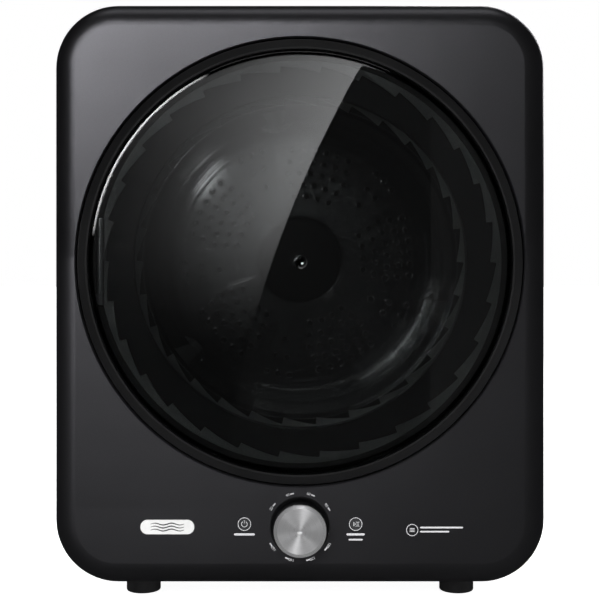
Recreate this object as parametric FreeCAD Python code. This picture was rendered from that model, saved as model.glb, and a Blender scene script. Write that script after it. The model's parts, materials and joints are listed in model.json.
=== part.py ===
"""Compact front-loading vented clothes dryer.

Millimetres, +Z up, the front faces -Y, +X is to the right of somebody who faces it.
Every piece is drawn with Y as the depth behind the front panel's face, and it is moved by
FRAME_SHIFT when it is written, so that the origin is on the floor under the middle of the box.
"""
import FreeCAD, Part
import math
import os
from FreeCAD import Vector

# ---- cabinet ----
WIDTH = 595.0
BODY_HEIGHT = 702.0
FOOT_HEIGHT = 17.0
DEPTH = 500.0
CORNER_R = 77.0
FRONT_ROUND = 28.0
SHEET = 0.8
PANEL_WALL = 3.0
PANEL_DEPTH = 45.0
SHEET_GAP = 0.3
RUNNING_GAP = 0.05
TURNING_GAP = 0.35
SHEET_FLANGE = 12.0

# ---- feet ----
FOOT_R = 21.0
FOOT_X = 194.0
FOOT_INSET = 52.0
STUD_ABOVE = 6.0

# ---- door and its recess ----
DOOR_Z = 407.0
RING_R = 266.5
DOOR_GAP = 2.5
DISH_DEPTH = 36.0
DISH_LIP = 2.0
OPENING_BAND = 54.5
LIP_WALL = 2.5
RING_FRONT = 10.0
RING_EDGE_FRONT = 4.5
RING_WALL = 3.0
RING_SIDE_DEPTH = 13.0
RING_BAND = 13.5
GLASS_GAP = 1.0
GLASS_WALL = 4.0
GLASS_ROLL = 8.0
GLASS_EDGE_FRONT = 14.0
GLASS_CROWN = 5.5
GLASS_SEAT = 3.3
SHELF_BAND = 12.0
FRAME_BAND = 66.5
FRAME_RIBS = 24
BOWL_FLANGE = 6.0
BOWL_LIP = 10.0
BOWL_TAPER = 13.0
BOWL_DEPTH = 108.0
BOWL_WALL = 4.0
BOWL_SEAT = 20.0
COVER_DEPTH = 27.0
COVER_WALL = 3.0
SEAL_LAP = 4.0
SEAL_WIDTH = 10.0
COVER_SCREWS = 8
COVER_SCREW_DEPTH = 13.0

# ---- door hinge and catch ----
HINGE_INSET = 29.0
HINGE_FRONT = 1.0
PIN_R = 2.5
EYE_R = 5.0
EYE_LOW = 40.0
EYE_HIGH = 51.0
LEG_WALL = 2.6
BRACKET_WALL = 2.5
SLOT_GAP = 1.5
STRIKER_INSET = 28.5
STRIKER_REACH = 23.0
STRIKER_HALF = 8.0
CATCH_HALF = 16.0
CATCH_DEPTH = 17.0
CATCH_WALL = 3.0
CATCH_OPENING_HALF = 11.0
LEAF_REACH = 26.0
LEAF_SCREW_REACH = 18.0
LEAF_SCREW_RISE = 26.0

# ---- controls ----
CONTROL_Z = 89.0
WELL_R = 35.5
WELL_DEPTH = 5.0
KNOB_R = 31.2
KNOB_PROUD = 26.0
CAP_WALL = 1.4
CAP_FACE = 3.2
CAP_DEPTH = 4.6
KNOB_SHAFT_R = 3.0
KNOB_SHAFT_INSET = 12.0
ENCODER_HALF = 7.0
BUTTON_X = 66.7
BUTTON_Z = 92.5
BUTTON_R = 8.2
BUTTON_GAP = 0.35
BUTTON_PROUD = 0.8
BUTTON_TRAVEL = 1.2
BUTTON_COLLAR = 2.0
BOARD_DEPTH = 16.0
BOARD_WALL = 1.6
BOARD_HALF_WIDTH = 100.0
BOARD_HALF_HEIGHT = 28.0
RELAY_XS = (-80.0, -54.0, 54.0)
RELAY_SIZE = 18.0
TRAY_HALF_WIDTH = 106.0
TRAY_HALF_HEIGHT = 36.0
TRAY_FRONT = 12.0
TRAY_BACK = 40.0
TRAY_WALL = 2.0
BADGE_X = -159.0
BADGE_WIDTH = 64.6
BADGE_HEIGHT = 17.2
BADGE_WALL = 1.0

# ---- drum ----
DRUM_R = 264.0
DRUM_WALL = 1.0
DRUM_FRONT = 60.0
DRUM_BACK = 441.0
FELT_WALL = 7.3
NECK_LENGTH = 14.0
COLLAR_WALL = 1.2
COLLAR_BACK = 70.0
WALL_FACE = 434.0
WALL_STEP = 6.0
HUB_R = 68.0
DISC_R = 188.0
STEP_R = 217.0
SECTORS = 5
SECTOR_START = 7.0
SECTOR_HALF = 21.0
SECTOR_INNER_R = 79.0
SECTOR_OUTER_R = 184.0
SECTOR_RISE = 1.5
HOLE_R = 3.6
HOLE_PITCH = 18.1
DENSE_OUTER_R = 171.5
DENSE_ROW_PITCH = 18.05
DENSE_ROWS = (6, 6, 6, 5, 4)
SPARSE_OUTER_R = 180.0
SPARSE_ROW_PITCH = 27.3
SPARSE_ROWS = (3, 2, 1)
LIFTERS = 3
LIFTER_START = -20.0
LIFTER_HEIGHT = 50.0
LIFTER_BASE = 62.0
LIFTER_TOP = 20.0
LIFTER_FRONT = 100.0
LIFTER_BACK = 400.0
LIFTER_SLOTS = 4
LIFTER_SLOT_PITCH = 70.0
LIFTER_SLOT_WIDTH = 44.0
LIFTER_SLOT_HEIGHT = 8.0
HUB_CAP_R = 34.0
HUB_CAP_RISE = 14.0
AXLE_R = 10.0
AXLE_BACK = 486.0
AXLE_FLANGE = 4.0
BEARING_WALL = 4.0
BEARING_FRONT = 458.0
BEARING_BACK = 482.0
BOSS_WALL = 4.0
BAR_HALF = 30.0
BAR_WALL = 2.0
BAR_FOOT = 16.0

# ---- drum rollers ----
ROLLER_R = 26.0
ROLLER_ANGLE = 32.0
ROLLER_FRONT = 78.0
ROLLER_BACK = 92.0
ROLLER_AXLE_R = 5.0
AXLE_PLATE_WALL = 2.0
AXLE_PLATE_HALF_WIDTH = 24.0
AXLE_PLATE_HALF_HEIGHT = 14.0

# ---- motor, fan and belt ----
MOTOR_X = 170.0
MOTOR_Z = 100.0
MOTOR_R = 52.0
MOTOR_FRONT = 180.0
MOTOR_BACK = 320.0
MOTOR_WALL = 11.0
MOTOR_CAP = 20.0
SHAFT_R = 6.0
PULLEY_R = 11.0
BELT_MIDDLE = 345.0
BELT_WIDTH = 9.0
BELT_WALL = 2.0
PULLEY_RIM = 3.0
CRADLE_WALL = 2.0
CRADLE_HALF = 60.0
IDLER_X = 105.0
IDLER_Z = 66.0
IDLER_R = 22.0
IDLER_PIVOT_X = 45.0
IDLER_PIVOT_Z = 110.0
IDLER_STUD_R = 4.0
IDLER_ARM_HALF = 9.0
IDLER_ARM_WALL = 4.0
SPRING_R = 4.0
FAN_R = 64.0
FAN_FRONT = 102.0
FAN_BACK = 142.0
FAN_BLADES = 24
BLADE_REACH = 12.0
BLADE_WALL = 1.6
BLADE_LEAN = 35.0
FAN_HUB_R = 16.0
FAN_CASE_R = 78.0
FAN_CASE_FRONT = 97.0
FAN_CASE_BACK = 150.0
FAN_INLET_R = 44.0
FAN_OUTLET_HEIGHT = 52.0
DUCT_WALL = 2.0

# ---- air outlet and heater ----
OUTLET_X = -150.0
OUTLET_LIFT = 34.0
OUTLET_R = 50.0
OUTLET_PROUD = 35.0
COLLAR_FLANGE = 12.0
HEATER_R = 212.0
HEATER_FRONT = 452.0
HEATER_COIL_R = 150.0
HEATER_TUBE_R = 3.5
HEATER_TURN_GAP = 22.0
HEATER_INLET_R = 22.0
THERMOSTAT_R = 8.0
THERMOSTAT_HEIGHT = 10.0
FILTER_HALF = 68.0
FILTER_FRONT = 49.0
FILTER_BACK = 56.5
FILTER_DROP = 44.0
FILTER_WALL = 1.5
FILTER_BARS = 16
FILTER_BAR_PITCH = 8.0
DUCT_SIDE = 4.0

# ---- base and rear ----
BASE_HALF = 212.0
BASE_FRONT = 62.0
BASE_BACK = 478.0
BASE_LIP = 12.0
GLAND_X = 235.0
GLAND_Z = 120.0
GLAND_R = 9.0
GLAND_RIM = 4.0
CORD_R = 4.0
CAPACITOR_X = -60.0
CAPACITOR_DEPTH = 420.0
CAPACITOR_R = 18.0
CAPACITOR_HEIGHT = 70.0
INTAKE_ROWS = 9
INTAKE_PITCH = 16.0
INTAKE_HEIGHT = 5.0
INTAKE_INNER_X = 60.0
INTAKE_OUTER_X = 150.0
BRACKET_BOLT_X = 240.0
BRACKET_BOLT_Z = 620.0
BRACKET_BOLT_DROP = 120.0
BRACKET_HOLE_R = 3.0
SCREW_R = 2.0
SCREW_HEAD_R = 4.2
SCREW_HEAD = 1.8
PANEL_SCREW_INSET = 14.0

# ---- worked out from the sizes above ----
TOTAL_HEIGHT = BODY_HEIGHT + FOOT_HEIGHT
FRAME_SHIFT = (KNOB_PROUD - DEPTH - OUTLET_PROUD) / 2
DISH_R = RING_R + DOOR_GAP
GLASS_R = RING_R - RING_BAND
SHELF_R = GLASS_R - SHELF_BAND
OPENING_R = RING_R - OPENING_BAND
FRAME_INNER_R = RING_R - FRAME_BAND
BOWL_FLANGE_R = FRAME_INNER_R + BOWL_FLANGE
BOWL_MOUTH_R = FRAME_INNER_R - BOWL_LIP
BOWL_NOSE_R = BOWL_MOUTH_R - BOWL_TAPER
SEAL_INNER_R = OPENING_R + SEAL_LAP
SEAL_OUTER_R = SEAL_INNER_R + SEAL_WIDTH
STRIKER_X = RING_R - STRIKER_INSET
HINGE_X = HINGE_INSET - RING_R
COVER_STEP_R = RING_R - 21.0
SEAL_BACK = DISH_DEPTH - SHEET_GAP
COLLAR_R = OPENING_R + 1.0
NECK_R = COLLAR_R + COLLAR_WALL + FELT_WALL
OUTLET_Z = OUTLET_LIFT + OUTLET_R
INSIDE_FLOOR = FOOT_HEIGHT + SHEET
BASE_TOP = INSIDE_FLOOR + 1.5
REAR_FACE = DEPTH - SHEET
OVER = 1.0
AXIS_Y = Vector(0, 1, 0)
AXIS_Z = Vector(0, 0, 1)


# ---- drawing tools ----
def box(x0, x1, d0, d1, z0, z1):
    return Part.makeBox(x1 - x0, d1 - d0, z1 - z0, Vector(x0, d0, z0))


def rod(x, z, radius, d0, d1):
    """A cylinder along the depth."""
    return Part.makeCylinder(radius, d1 - d0, Vector(x, d0, z), AXIS_Y)


def tube(x, z, inner, outer, d0, d1):
    return rod(x, z, outer, d0, d1).cut(rod(x, z, inner, d0 - OVER, d1 + OVER))


def post(x, d, radius, z0, z1):
    """A cylinder along the height."""
    return Part.makeCylinder(radius, z1 - z0, Vector(x, d, z0), AXIS_Z)


def arc(start, middle, end):
    return Part.Arc(Vector(*start, 0), Vector(*middle, 0), Vector(*end, 0)).toShape()


def line(start, end):
    return Part.LineSegment(Vector(*start, 0), Vector(*end, 0)).toShape()


def rounded_wire(corners):
    """A wire through (u, v, radius) corners. A radius of 0 leaves the corner sharp."""
    entries, edges_at, exits = [], [], []
    count = len(corners)
    for index, (u, v, radius) in enumerate(corners):
        here = Vector(u, v, 0)
        if radius == 0:
            entries.append(here)
            exits.append(here)
            edges_at.append(None)
            continue
        before = Vector(*corners[index - 1][:2], 0).sub(here).normalize()
        after = Vector(*corners[(index + 1) % count][:2], 0).sub(here).normalize()
        half = before.getAngle(after) / 2
        reach = radius / math.tan(half)
        middle = here + (before + after).normalize() * (radius / math.sin(half) - radius)
        entries.append(here + before * reach)
        exits.append(here + after * reach)
        edges_at.append(middle)
    edges = []
    for index in range(count):
        if edges_at[index] is not None:
            edges.append(Part.Arc(entries[index], edges_at[index], exits[index]).toShape())
        following = (index + 1) % count
        if exits[index].distanceToPoint(entries[following]) > 1e-6:
            edges.append(Part.LineSegment(exits[index], entries[following]).toShape())
    return Part.Wire(edges)


def turned_face(face, x=0.0, z=DOOR_Z):
    """Turn a face of (radius, depth) about the depth axis through x, z."""
    solid = face.revolve(Vector(0, 0, 0), AXIS_Y, 360)
    solid.translate(Vector(x, 0, z))
    return solid


def turned(corners, x=0.0, z=DOOR_Z):
    return turned_face(Part.Face(rounded_wire(corners)), x, z)


def plate(corners, d0, d1):
    """Extrude an outline of (x, z, radius) corners along the depth."""
    face = Part.Face(rounded_wire(corners))
    face.rotate(Vector(0, 0, 0), Vector(1, 0, 0), 90)
    face.translate(Vector(0, d0, 0))
    return face.extrude(Vector(0, d1 - d0, 0))


def cabinet_corners(inset):
    half = WIDTH / 2 - inset
    low = FOOT_HEIGHT + inset
    high = TOTAL_HEIGHT - inset
    radius = CORNER_R - inset
    return [(-half, low, radius), (half, low, radius), (half, high, radius), (-half, high, radius)]


def cabinet_block(inset, d0, d1):
    return plate(cabinet_corners(inset), d0, d1)


def pillowed_block(inset, d0, d1, radius):
    """A cabinet-shaped block whose front edge is rolled over."""
    block = cabinet_block(inset, d0, d1)
    front = [edge for edge in block.Edges
             if edge.BoundBox.YMax - d0 < 1e-6 and edge.BoundBox.YLength < 1e-6]
    return block.makeFillet(radius, front)


def fuse(shapes):
    joined = shapes[0]
    for shape in shapes[1:]:
        joined = joined.fuse(shape)
    return joined.removeSplitter()


def around(count, start=0.0):
    """The angles, in degrees, of a ring of equal places."""
    return [start + 360.0 * index / count for index in range(count)]


def spun(shape, angle, x=0.0, z=DOOR_Z):
    """A copy turned about the depth axis; a positive angle is anticlockwise from the front."""
    copy = shape.copy()
    copy.rotate(Vector(x, 0, z), Vector(0, -1, 0), angle)
    return copy


def polar(radius, degrees, x=0.0, z=DOOR_Z):
    angle = math.radians(degrees)
    return x + radius * math.cos(angle), z + radius * math.sin(angle)


def save(name, shape):
    placed = shape.copy()
    placed.translate(Vector(0, FRAME_SHIFT, 0))
    placed.exportStep(os.path.join("parts", name + ".step"))


# ---- cabinet ----
def cabinet_wrap():
    shell = cabinet_block(0, PANEL_DEPTH, DEPTH).cut(cabinet_block(SHEET, PANEL_DEPTH - OVER, DEPTH + OVER))
    studs = [post(x, d, SCREW_HEAD_R + SHEET_GAP, FOOT_HEIGHT - OVER, INSIDE_FLOOR + OVER)
             for x, d in foot_places()]
    return shell.cut(Part.makeCompound(studs))


def front_panel():
    shell = pillowed_block(0, 0, PANEL_DEPTH, FRONT_ROUND)
    hollow = pillowed_block(PANEL_WALL, PANEL_WALL, PANEL_DEPTH + OVER, FRONT_ROUND - PANEL_WALL)
    well = rod(0, CONTROL_Z, WELL_R + LIP_WALL, PANEL_WALL / 2, WELL_DEPTH + LIP_WALL)
    dish = rod(0, DOOR_Z, DISH_R + PANEL_WALL, PANEL_WALL / 2, DISH_DEPTH + PANEL_WALL)
    lip = rod(0, DOOR_Z, OPENING_R + LIP_WALL, DISH_DEPTH, PANEL_DEPTH - SHEET_GAP)
    panel = fuse([shell.cut(hollow), dish, lip, well])
    recess = turned([
        (0, -OVER, 0),
        (DISH_R + DISH_LIP + OVER, -OVER, 0),
        (DISH_R, DISH_LIP, 0),
        (DISH_R, DISH_DEPTH, 0),
        (0, DISH_DEPTH, 0)])
    cuts = [recess, rod(0, DOOR_Z, OPENING_R, 0, PANEL_DEPTH + OVER)]
    cuts.append(rod(0, CONTROL_Z, WELL_R, -OVER, WELL_DEPTH))
    cuts.append(rod(0, CONTROL_Z, KNOB_SHAFT_R + TURNING_GAP, -OVER, PANEL_DEPTH))
    for side in (-1, 1):
        cuts.append(rod(side * BUTTON_X, BUTTON_Z, BUTTON_R + BUTTON_GAP, -OVER, PANEL_DEPTH))
    cuts.append(catch_opening(DISH_DEPTH - OVER, DISH_DEPTH + PANEL_WALL + OVER))
    for cut in cuts:
        panel = panel.cut(cut)
    return panel.removeSplitter()


def filter_slot(gap):
    """The space in the bottom of the throat that takes the lint filter."""
    slot = box(-FILTER_HALF - gap, FILTER_HALF + gap, FILTER_FRONT - gap, FILTER_BACK + gap,
               DOOR_Z - OPENING_R - FILTER_DROP - gap, DOOR_Z - FILTER_HALF)
    return slot


def front_bulkhead():
    sheet = cabinet_block(SHEET + SHEET_GAP, PANEL_DEPTH, PANEL_DEPTH + SHEET)
    inset = SHEET + SHEET_GAP
    flange = cabinet_block(inset, PANEL_DEPTH, PANEL_DEPTH + SHEET_FLANGE)
    flange = flange.cut(cabinet_block(inset + SHEET, PANEL_DEPTH - OVER, PANEL_DEPTH + SHEET_FLANGE + OVER))
    collar = rod(0, DOOR_Z, COLLAR_R + COLLAR_WALL, PANEL_DEPTH, COLLAR_BACK)
    bulkhead = fuse([sheet, flange, collar])
    bulkhead = bulkhead.cut(rod(0, DOOR_Z, COLLAR_R, PANEL_DEPTH - OVER, COLLAR_BACK + OVER))
    bulkhead = bulkhead.cut(filter_slot(SHEET_GAP))
    for x, d in foot_places():
        bulkhead = bulkhead.cut(post(x, d, SCREW_HEAD_R + SHEET_GAP, FOOT_HEIGHT, BASE_TOP + BASE_LIP))
    x0, x1, half = catch_span()
    return bulkhead.cut(box(x0 - SHEET_GAP, x1 + SHEET_GAP, PANEL_DEPTH - OVER, COLLAR_BACK,
                            DOOR_Z - half - SHEET_GAP, DOOR_Z + half + SHEET_GAP))


def rear_panel():
    inset = SHEET + SHEET_GAP
    sheet = cabinet_block(inset, REAR_FACE, DEPTH)
    flange = cabinet_block(inset, REAR_FACE - SHEET_FLANGE, DEPTH)
    flange = flange.cut(cabinet_block(inset + SHEET, REAR_FACE - SHEET_FLANGE - OVER, REAR_FACE))
    panel = fuse([sheet, flange])
    cuts = [rod(OUTLET_X, OUTLET_Z, OUTLET_R + SHEET_GAP, REAR_FACE - OVER, DEPTH + OVER)]
    cuts.append(rod(GLAND_X, GLAND_Z, GLAND_R, REAR_FACE - OVER, DEPTH + OVER))
    for side in (-1, 1):
        for drop in (0, BRACKET_BOLT_DROP):
            cuts.append(rod(side * BRACKET_BOLT_X, BRACKET_BOLT_Z - drop, BRACKET_HOLE_R,
                            REAR_FACE - OVER, DEPTH + OVER))
    cuts += intake_slots()
    return panel.cut(Part.makeCompound(cuts))


def intake_slots():
    """Rows of slots in the rear panel, in front of the heater pan."""
    slots = []
    half = INTAKE_HEIGHT / 2
    for row in range(INTAKE_ROWS):
        for side in (-1, 1):
            z = DOOR_Z + (row - (INTAKE_ROWS - 1) / 2) * INTAKE_PITCH
            x0, x1 = sorted((side * INTAKE_INNER_X, side * INTAKE_OUTER_X))
            slots.append(box(x0, x1, REAR_FACE - OVER, DEPTH + OVER, z - half, z + half))
    return slots


def base_pan():
    outer = box(-BASE_HALF, BASE_HALF, BASE_FRONT, BASE_BACK, INSIDE_FLOOR, BASE_TOP + BASE_LIP)
    inner = box(-BASE_HALF + SHEET, BASE_HALF - SHEET, BASE_FRONT + SHEET, BASE_BACK - SHEET,
                BASE_TOP, BASE_TOP + BASE_LIP + OVER)
    holes = [post(x, d, SCREW_HEAD_R + SHEET_GAP, INSIDE_FLOOR - OVER, BASE_TOP + OVER)
             for x, d in foot_places()]
    return outer.cut(inner).cut(Part.makeCompound(holes))


def foot_places():
    return [(side * FOOT_X, d) for side in (-1, 1) for d in (FOOT_INSET, DEPTH - FOOT_INSET)]


def levelling_foot(x, d):
    pad = post(x, d, FOOT_R, 0, FOOT_HEIGHT)
    rim = [edge for edge in pad.Edges if edge.BoundBox.ZMax < 1e-6]
    stud = post(x, d, SCREW_HEAD_R, FOOT_HEIGHT - OVER, BASE_TOP + STUD_ABOVE)
    return pad.makeFillet(2.0, rim).fuse(stud)


# ---- door ----
def hinge_slots():
    """Room in the door for the two fixed hinge legs as the door swings."""
    slots = []
    for side in (-1, 1):
        low = DOOR_Z + side * (EYE_LOW + EYE_HIGH) / 2 - (EYE_HIGH - EYE_LOW) / 2 - SLOT_GAP
        high = low + EYE_HIGH - EYE_LOW + 2 * SLOT_GAP
        slots.append(box(-RING_R - DOOR_GAP, HINGE_X + LEG_WALL / 2 + SLOT_GAP,
                         -GLASS_SEAT, COVER_DEPTH + OVER, low, high))
    slots.append(post(HINGE_X, -HINGE_FRONT, EYE_R + SLOT_GAP / 2,
                      DOOR_Z - EYE_HIGH - 2 * SLOT_GAP, DOOR_Z + EYE_HIGH + 2 * SLOT_GAP))
    return slots


def door_trim_ring():
    lip_r = GLASS_R + GLASS_GAP
    ring = turned([
        (RING_R, -RING_EDGE_FRONT, 2.0),
        (RING_R, RING_SIDE_DEPTH, 0),
        (RING_R - RING_WALL, RING_SIDE_DEPTH, 0),
        (RING_R - RING_WALL, RING_WALL - GLASS_SEAT, 0),
        (SHELF_R, RING_WALL - GLASS_SEAT, 0),
        (SHELF_R, -GLASS_SEAT, 0),
        (lip_r, -GLASS_SEAT, 0),
        (lip_r, -RING_FRONT + 0.4, 0.5),
        (lip_r + 2.6, -RING_FRONT, 1.2)])
    for slot in hinge_slots():
        ring = ring.cut(slot)
    return ring


def door_window():
    """A shallow dome whose edge rolls back to a rim."""
    flat_r = GLASS_R - GLASS_ROLL
    turn_d = -GLASS_EDGE_FRONT + GLASS_ROLL
    diagonal = math.sqrt(0.5)

    def dome(wall):
        reach = GLASS_ROLL - wall
        sphere_r = (flat_r ** 2 + GLASS_CROWN ** 2) / (2 * GLASS_CROWN)
        rise = sphere_r - math.sqrt(sphere_r ** 2 - (flat_r / 2) ** 2)
        edge = (flat_r, turn_d - reach)
        crown = (0.0, turn_d - reach - GLASS_CROWN)
        half_way = (flat_r / 2, turn_d - reach - GLASS_CROWN + rise)
        bend = (flat_r + reach * diagonal, turn_d - reach * diagonal)
        rim = (flat_r + reach, turn_d)
        foot = (flat_r + reach, -GLASS_SEAT)
        return crown, half_way, edge, bend, rim, foot

    crown, half_way, edge, bend, rim, foot = dome(0.0)
    crown_in, half_in, edge_in, bend_in, rim_in, foot_in = dome(GLASS_WALL)
    wire = Part.Wire([
        arc(crown, half_way, edge),
        arc(edge, bend, rim),
        line(rim, foot),
        line(foot, foot_in),
        line(foot_in, rim_in),
        arc(rim_in, bend_in, edge_in),
        arc(edge_in, half_in, crown_in),
        line(crown_in, crown)])
    return turned_face(Part.Face(wire))


def frame_back():
    return RING_WALL - GLASS_SEAT


def door_frame():
    front = frame_back()
    outer_r = RING_R - RING_WALL - SHEET_GAP
    web = front + RING_WALL
    mid_r = SHELF_R
    pieces = [tube(0, DOOR_Z, FRAME_INNER_R, outer_r, front, web)]
    pieces.append(tube(0, DOOR_Z, FRAME_INNER_R, FRAME_INNER_R + RING_WALL, front, BOWL_SEAT))
    pieces.append(tube(0, DOOR_Z, mid_r - RING_WALL, mid_r, front, COVER_DEPTH - COVER_WALL))
    rib = box(FRAME_INNER_R + 1, mid_r - 1, front, BOWL_SEAT, DOOR_Z - 1, DOOR_Z + 1)
    pieces += [spun(rib, angle) for angle in around(FRAME_RIBS, 180.0 / FRAME_RIBS)]
    bosses = [rod(x, z, SCREW_HEAD_R, front, COVER_DEPTH - COVER_WALL) for x, z in cover_screw_places()]
    holes = [rod(x, z, SCREW_R, web, COVER_DEPTH) for x, z in cover_screw_places()]
    frame = fuse(pieces + bosses).cut(Part.makeCompound(holes))
    reach = EYE_HIGH + 2 * SLOT_GAP
    low, high = DOOR_Z - reach, DOOR_Z + reach
    frame = frame.cut(box(-RING_R, HINGE_X + EYE_R, front - OVER, COVER_DEPTH, low, high))
    low, high = DOOR_Z - EYE_LOW, DOOR_Z + EYE_LOW
    return frame.cut(box(-RING_R, HINGE_X + LEAF_REACH + 2, web, COVER_DEPTH, low, high))


def door_bowl():
    seat = BOWL_SEAT
    back = COVER_DEPTH - COVER_WALL
    return turned([
        (BOWL_FLANGE_R, seat, 0),
        (BOWL_FLANGE_R, back, 0),
        (BOWL_MOUTH_R, back, 1.5),
        (BOWL_NOSE_R, BOWL_DEPTH, 18.0),
        (0, BOWL_DEPTH, 0),
        (0, BOWL_DEPTH - BOWL_WALL, 0),
        (BOWL_NOSE_R - BOWL_WALL, BOWL_DEPTH - BOWL_WALL, 14.0),
        (BOWL_MOUTH_R - BOWL_WALL, seat, 3.0)])


def door_back_cover():
    inner = COVER_DEPTH - COVER_WALL
    cover = turned([
        (RING_R, RING_SIDE_DEPTH, 0),
        (RING_R, RING_SIDE_DEPTH + 1.5, 0),
        (COVER_STEP_R, COVER_DEPTH, 0),
        (BOWL_MOUTH_R + 2, COVER_DEPTH, 0),
        (BOWL_MOUTH_R + 2, inner, 0),
        (COVER_STEP_R - 1.5, inner, 0),
        (RING_R - 4.5, RING_SIDE_DEPTH, 0)])
    for slot in hinge_slots():
        cover = cover.cut(slot)
    holes = [rod(x, z, SCREW_R, inner - OVER, COVER_DEPTH + OVER) for x, z in cover_screw_places()]
    return cover.cut(Part.makeCompound(holes))


def door_seal():
    return turned([
        (SEAL_INNER_R, COVER_DEPTH, 0),
        (SEAL_OUTER_R, COVER_DEPTH, 0),
        (SEAL_OUTER_R, SEAL_BACK, 2.5),
        (SEAL_INNER_R, SEAL_BACK, 2.5)])


def door_hinge_leaf():
    knuckle = post(HINGE_X, -HINGE_FRONT, EYE_R, DOOR_Z - EYE_LOW + OVER, DOOR_Z + EYE_LOW - OVER)
    web = frame_back() + RING_WALL
    low = DOOR_Z - EYE_LOW + 2 * OVER
    high = DOOR_Z + EYE_LOW - 2 * OVER
    riser = box(HINGE_X - 1.5, HINGE_X + EYE_R - 1.5, 0, web + LEG_WALL, low, high)
    leaf = box(HINGE_X - 1.5, HINGE_X + LEAF_REACH, web, web + LEG_WALL, low, high)
    joined = fuse([knuckle, riser, leaf])
    bore = post(HINGE_X, -HINGE_FRONT, PIN_R + RUNNING_GAP, DOOR_Z - EYE_HIGH, DOOR_Z + EYE_HIGH)
    joined = joined.cut(bore)
    holes = [rod(x, z, SCREW_R, web - OVER, web + LEG_WALL + OVER) for x, z in leaf_screw_places()]
    return joined.cut(Part.makeCompound(holes))


def hinge_bracket():
    base = box(HINGE_X - 14, HINGE_X + 8, DISH_DEPTH - BRACKET_WALL, DISH_DEPTH,
               DOOR_Z - EYE_HIGH - 2, DOOR_Z + EYE_HIGH + 2)
    pieces = [base]
    for side in (-1, 1):
        low = DOOR_Z + (EYE_LOW if side > 0 else -EYE_HIGH)
        high = low + EYE_HIGH - EYE_LOW
        pieces.append(box(HINGE_X - LEG_WALL / 2, HINGE_X + LEG_WALL / 2,
                          -HINGE_FRONT, DISH_DEPTH - OVER, low, high))
        pieces.append(post(HINGE_X, -HINGE_FRONT, EYE_R, low, high))
    bracket = fuse(pieces)
    low, high = DOOR_Z - EYE_HIGH - OVER, DOOR_Z + EYE_HIGH + OVER
    return bracket.cut(post(HINGE_X, -HINGE_FRONT, PIN_R, low, high))


def hinge_pin():
    pin = post(HINGE_X, -HINGE_FRONT, PIN_R, DOOR_Z - EYE_HIGH - 1, DOOR_Z + EYE_HIGH)
    head = post(HINGE_X, -HINGE_FRONT, EYE_R - 1, DOOR_Z + EYE_HIGH, DOOR_Z + EYE_HIGH + 1.5)
    return pin.fuse(head)


def door_striker():
    reach = 2 * STRIKER_HALF
    foot = box(STRIKER_X - 6, STRIKER_X + 6, COVER_DEPTH, COVER_DEPTH + 2, DOOR_Z - reach, DOOR_Z + reach)
    tip = COVER_DEPTH + STRIKER_REACH
    tongue = box(STRIKER_X - 2, STRIKER_X + 2, COVER_DEPTH + 1, tip,
                 DOOR_Z - STRIKER_HALF, DOOR_Z + STRIKER_HALF)
    window = box(STRIKER_X - 3, STRIKER_X + 3, tip - 9, tip - 4, DOOR_Z - 5, DOOR_Z + 5)
    return foot.fuse(tongue).cut(window).removeSplitter()


def catch_span():
    """The catch housing's left, right and half height."""
    return STRIKER_X - 11, STRIKER_X + 13, CATCH_HALF


def catch_opening(d0, d1):
    """The room the striker swings into."""
    low, high = DOOR_Z - CATCH_OPENING_HALF, DOOR_Z + CATCH_OPENING_HALF
    return box(STRIKER_X - 6, STRIKER_X + 8, d0, d1, low, high)


def door_catch():
    x0, x1, half = catch_span()
    front = DISH_DEPTH + PANEL_WALL
    housing = box(x0, x1, front, front + CATCH_DEPTH, DOOR_Z - half, DOOR_Z + half)
    return housing.cut(catch_opening(front - OVER, front + CATCH_DEPTH - CATCH_WALL))


def cover_screw_places():
    radius = (SEAL_OUTER_R + SHELF_R - RING_WALL + SCREW_HEAD_R) / 2
    return [polar(radius, angle) for angle in around(COVER_SCREWS, 180.0 / COVER_SCREWS)]


def leaf_screw_places():
    return [(HINGE_X + LEAF_SCREW_REACH, DOOR_Z + side * LEAF_SCREW_RISE) for side in (-1, 1)]


def door_screws():
    """The screws that hold the back cover, and the two in the hinge leaf."""
    screws = []
    for x, z in cover_screw_places():
        shank = rod(x, z, SCREW_R, COVER_DEPTH - COVER_SCREW_DEPTH, COVER_DEPTH)
        screws.append(shank.fuse(rod(x, z, SCREW_HEAD_R, COVER_DEPTH, COVER_DEPTH + SCREW_HEAD)))
    web = frame_back() + RING_WALL
    for x, z in leaf_screw_places():
        shank = rod(x, z, SCREW_R, web, web + LEG_WALL)
        screws.append(shank.fuse(rod(x, z, SCREW_HEAD_R, web + LEG_WALL, web + LEG_WALL + SCREW_HEAD)))
    return Part.makeCompound(screws)


# ---- controls ----
def knob_cap():
    """The spun metal cap over the knob."""
    face = -KNOB_PROUD
    return turned([
        (0, face + 0.6, 0),
        (KNOB_R - 4.0, face, 0.8),
        (KNOB_R, face + 1.8, 1.2),
        (KNOB_R, face + CAP_DEPTH, 0),
        (KNOB_R - CAP_WALL, face + CAP_DEPTH, 0),
        (KNOB_R - CAP_WALL, face + CAP_FACE, 0),
        (0, face + CAP_FACE, 0)], 0, CONTROL_Z)


def control_knob():
    face = -KNOB_PROUD
    body = turned([
        (0, face + CAP_FACE, 0),
        (KNOB_R - CAP_WALL, face + CAP_FACE, 0),
        (KNOB_R - CAP_WALL, face + CAP_DEPTH, 0),
        (KNOB_R, face + CAP_DEPTH, 0),
        (KNOB_R, WELL_DEPTH - 1.0, 0),
        (0, WELL_DEPTH - 1.0, 0)], 0, CONTROL_Z)
    return body.cut(rod(0, CONTROL_Z, KNOB_SHAFT_R, face + KNOB_SHAFT_INSET, WELL_DEPTH))


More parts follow.
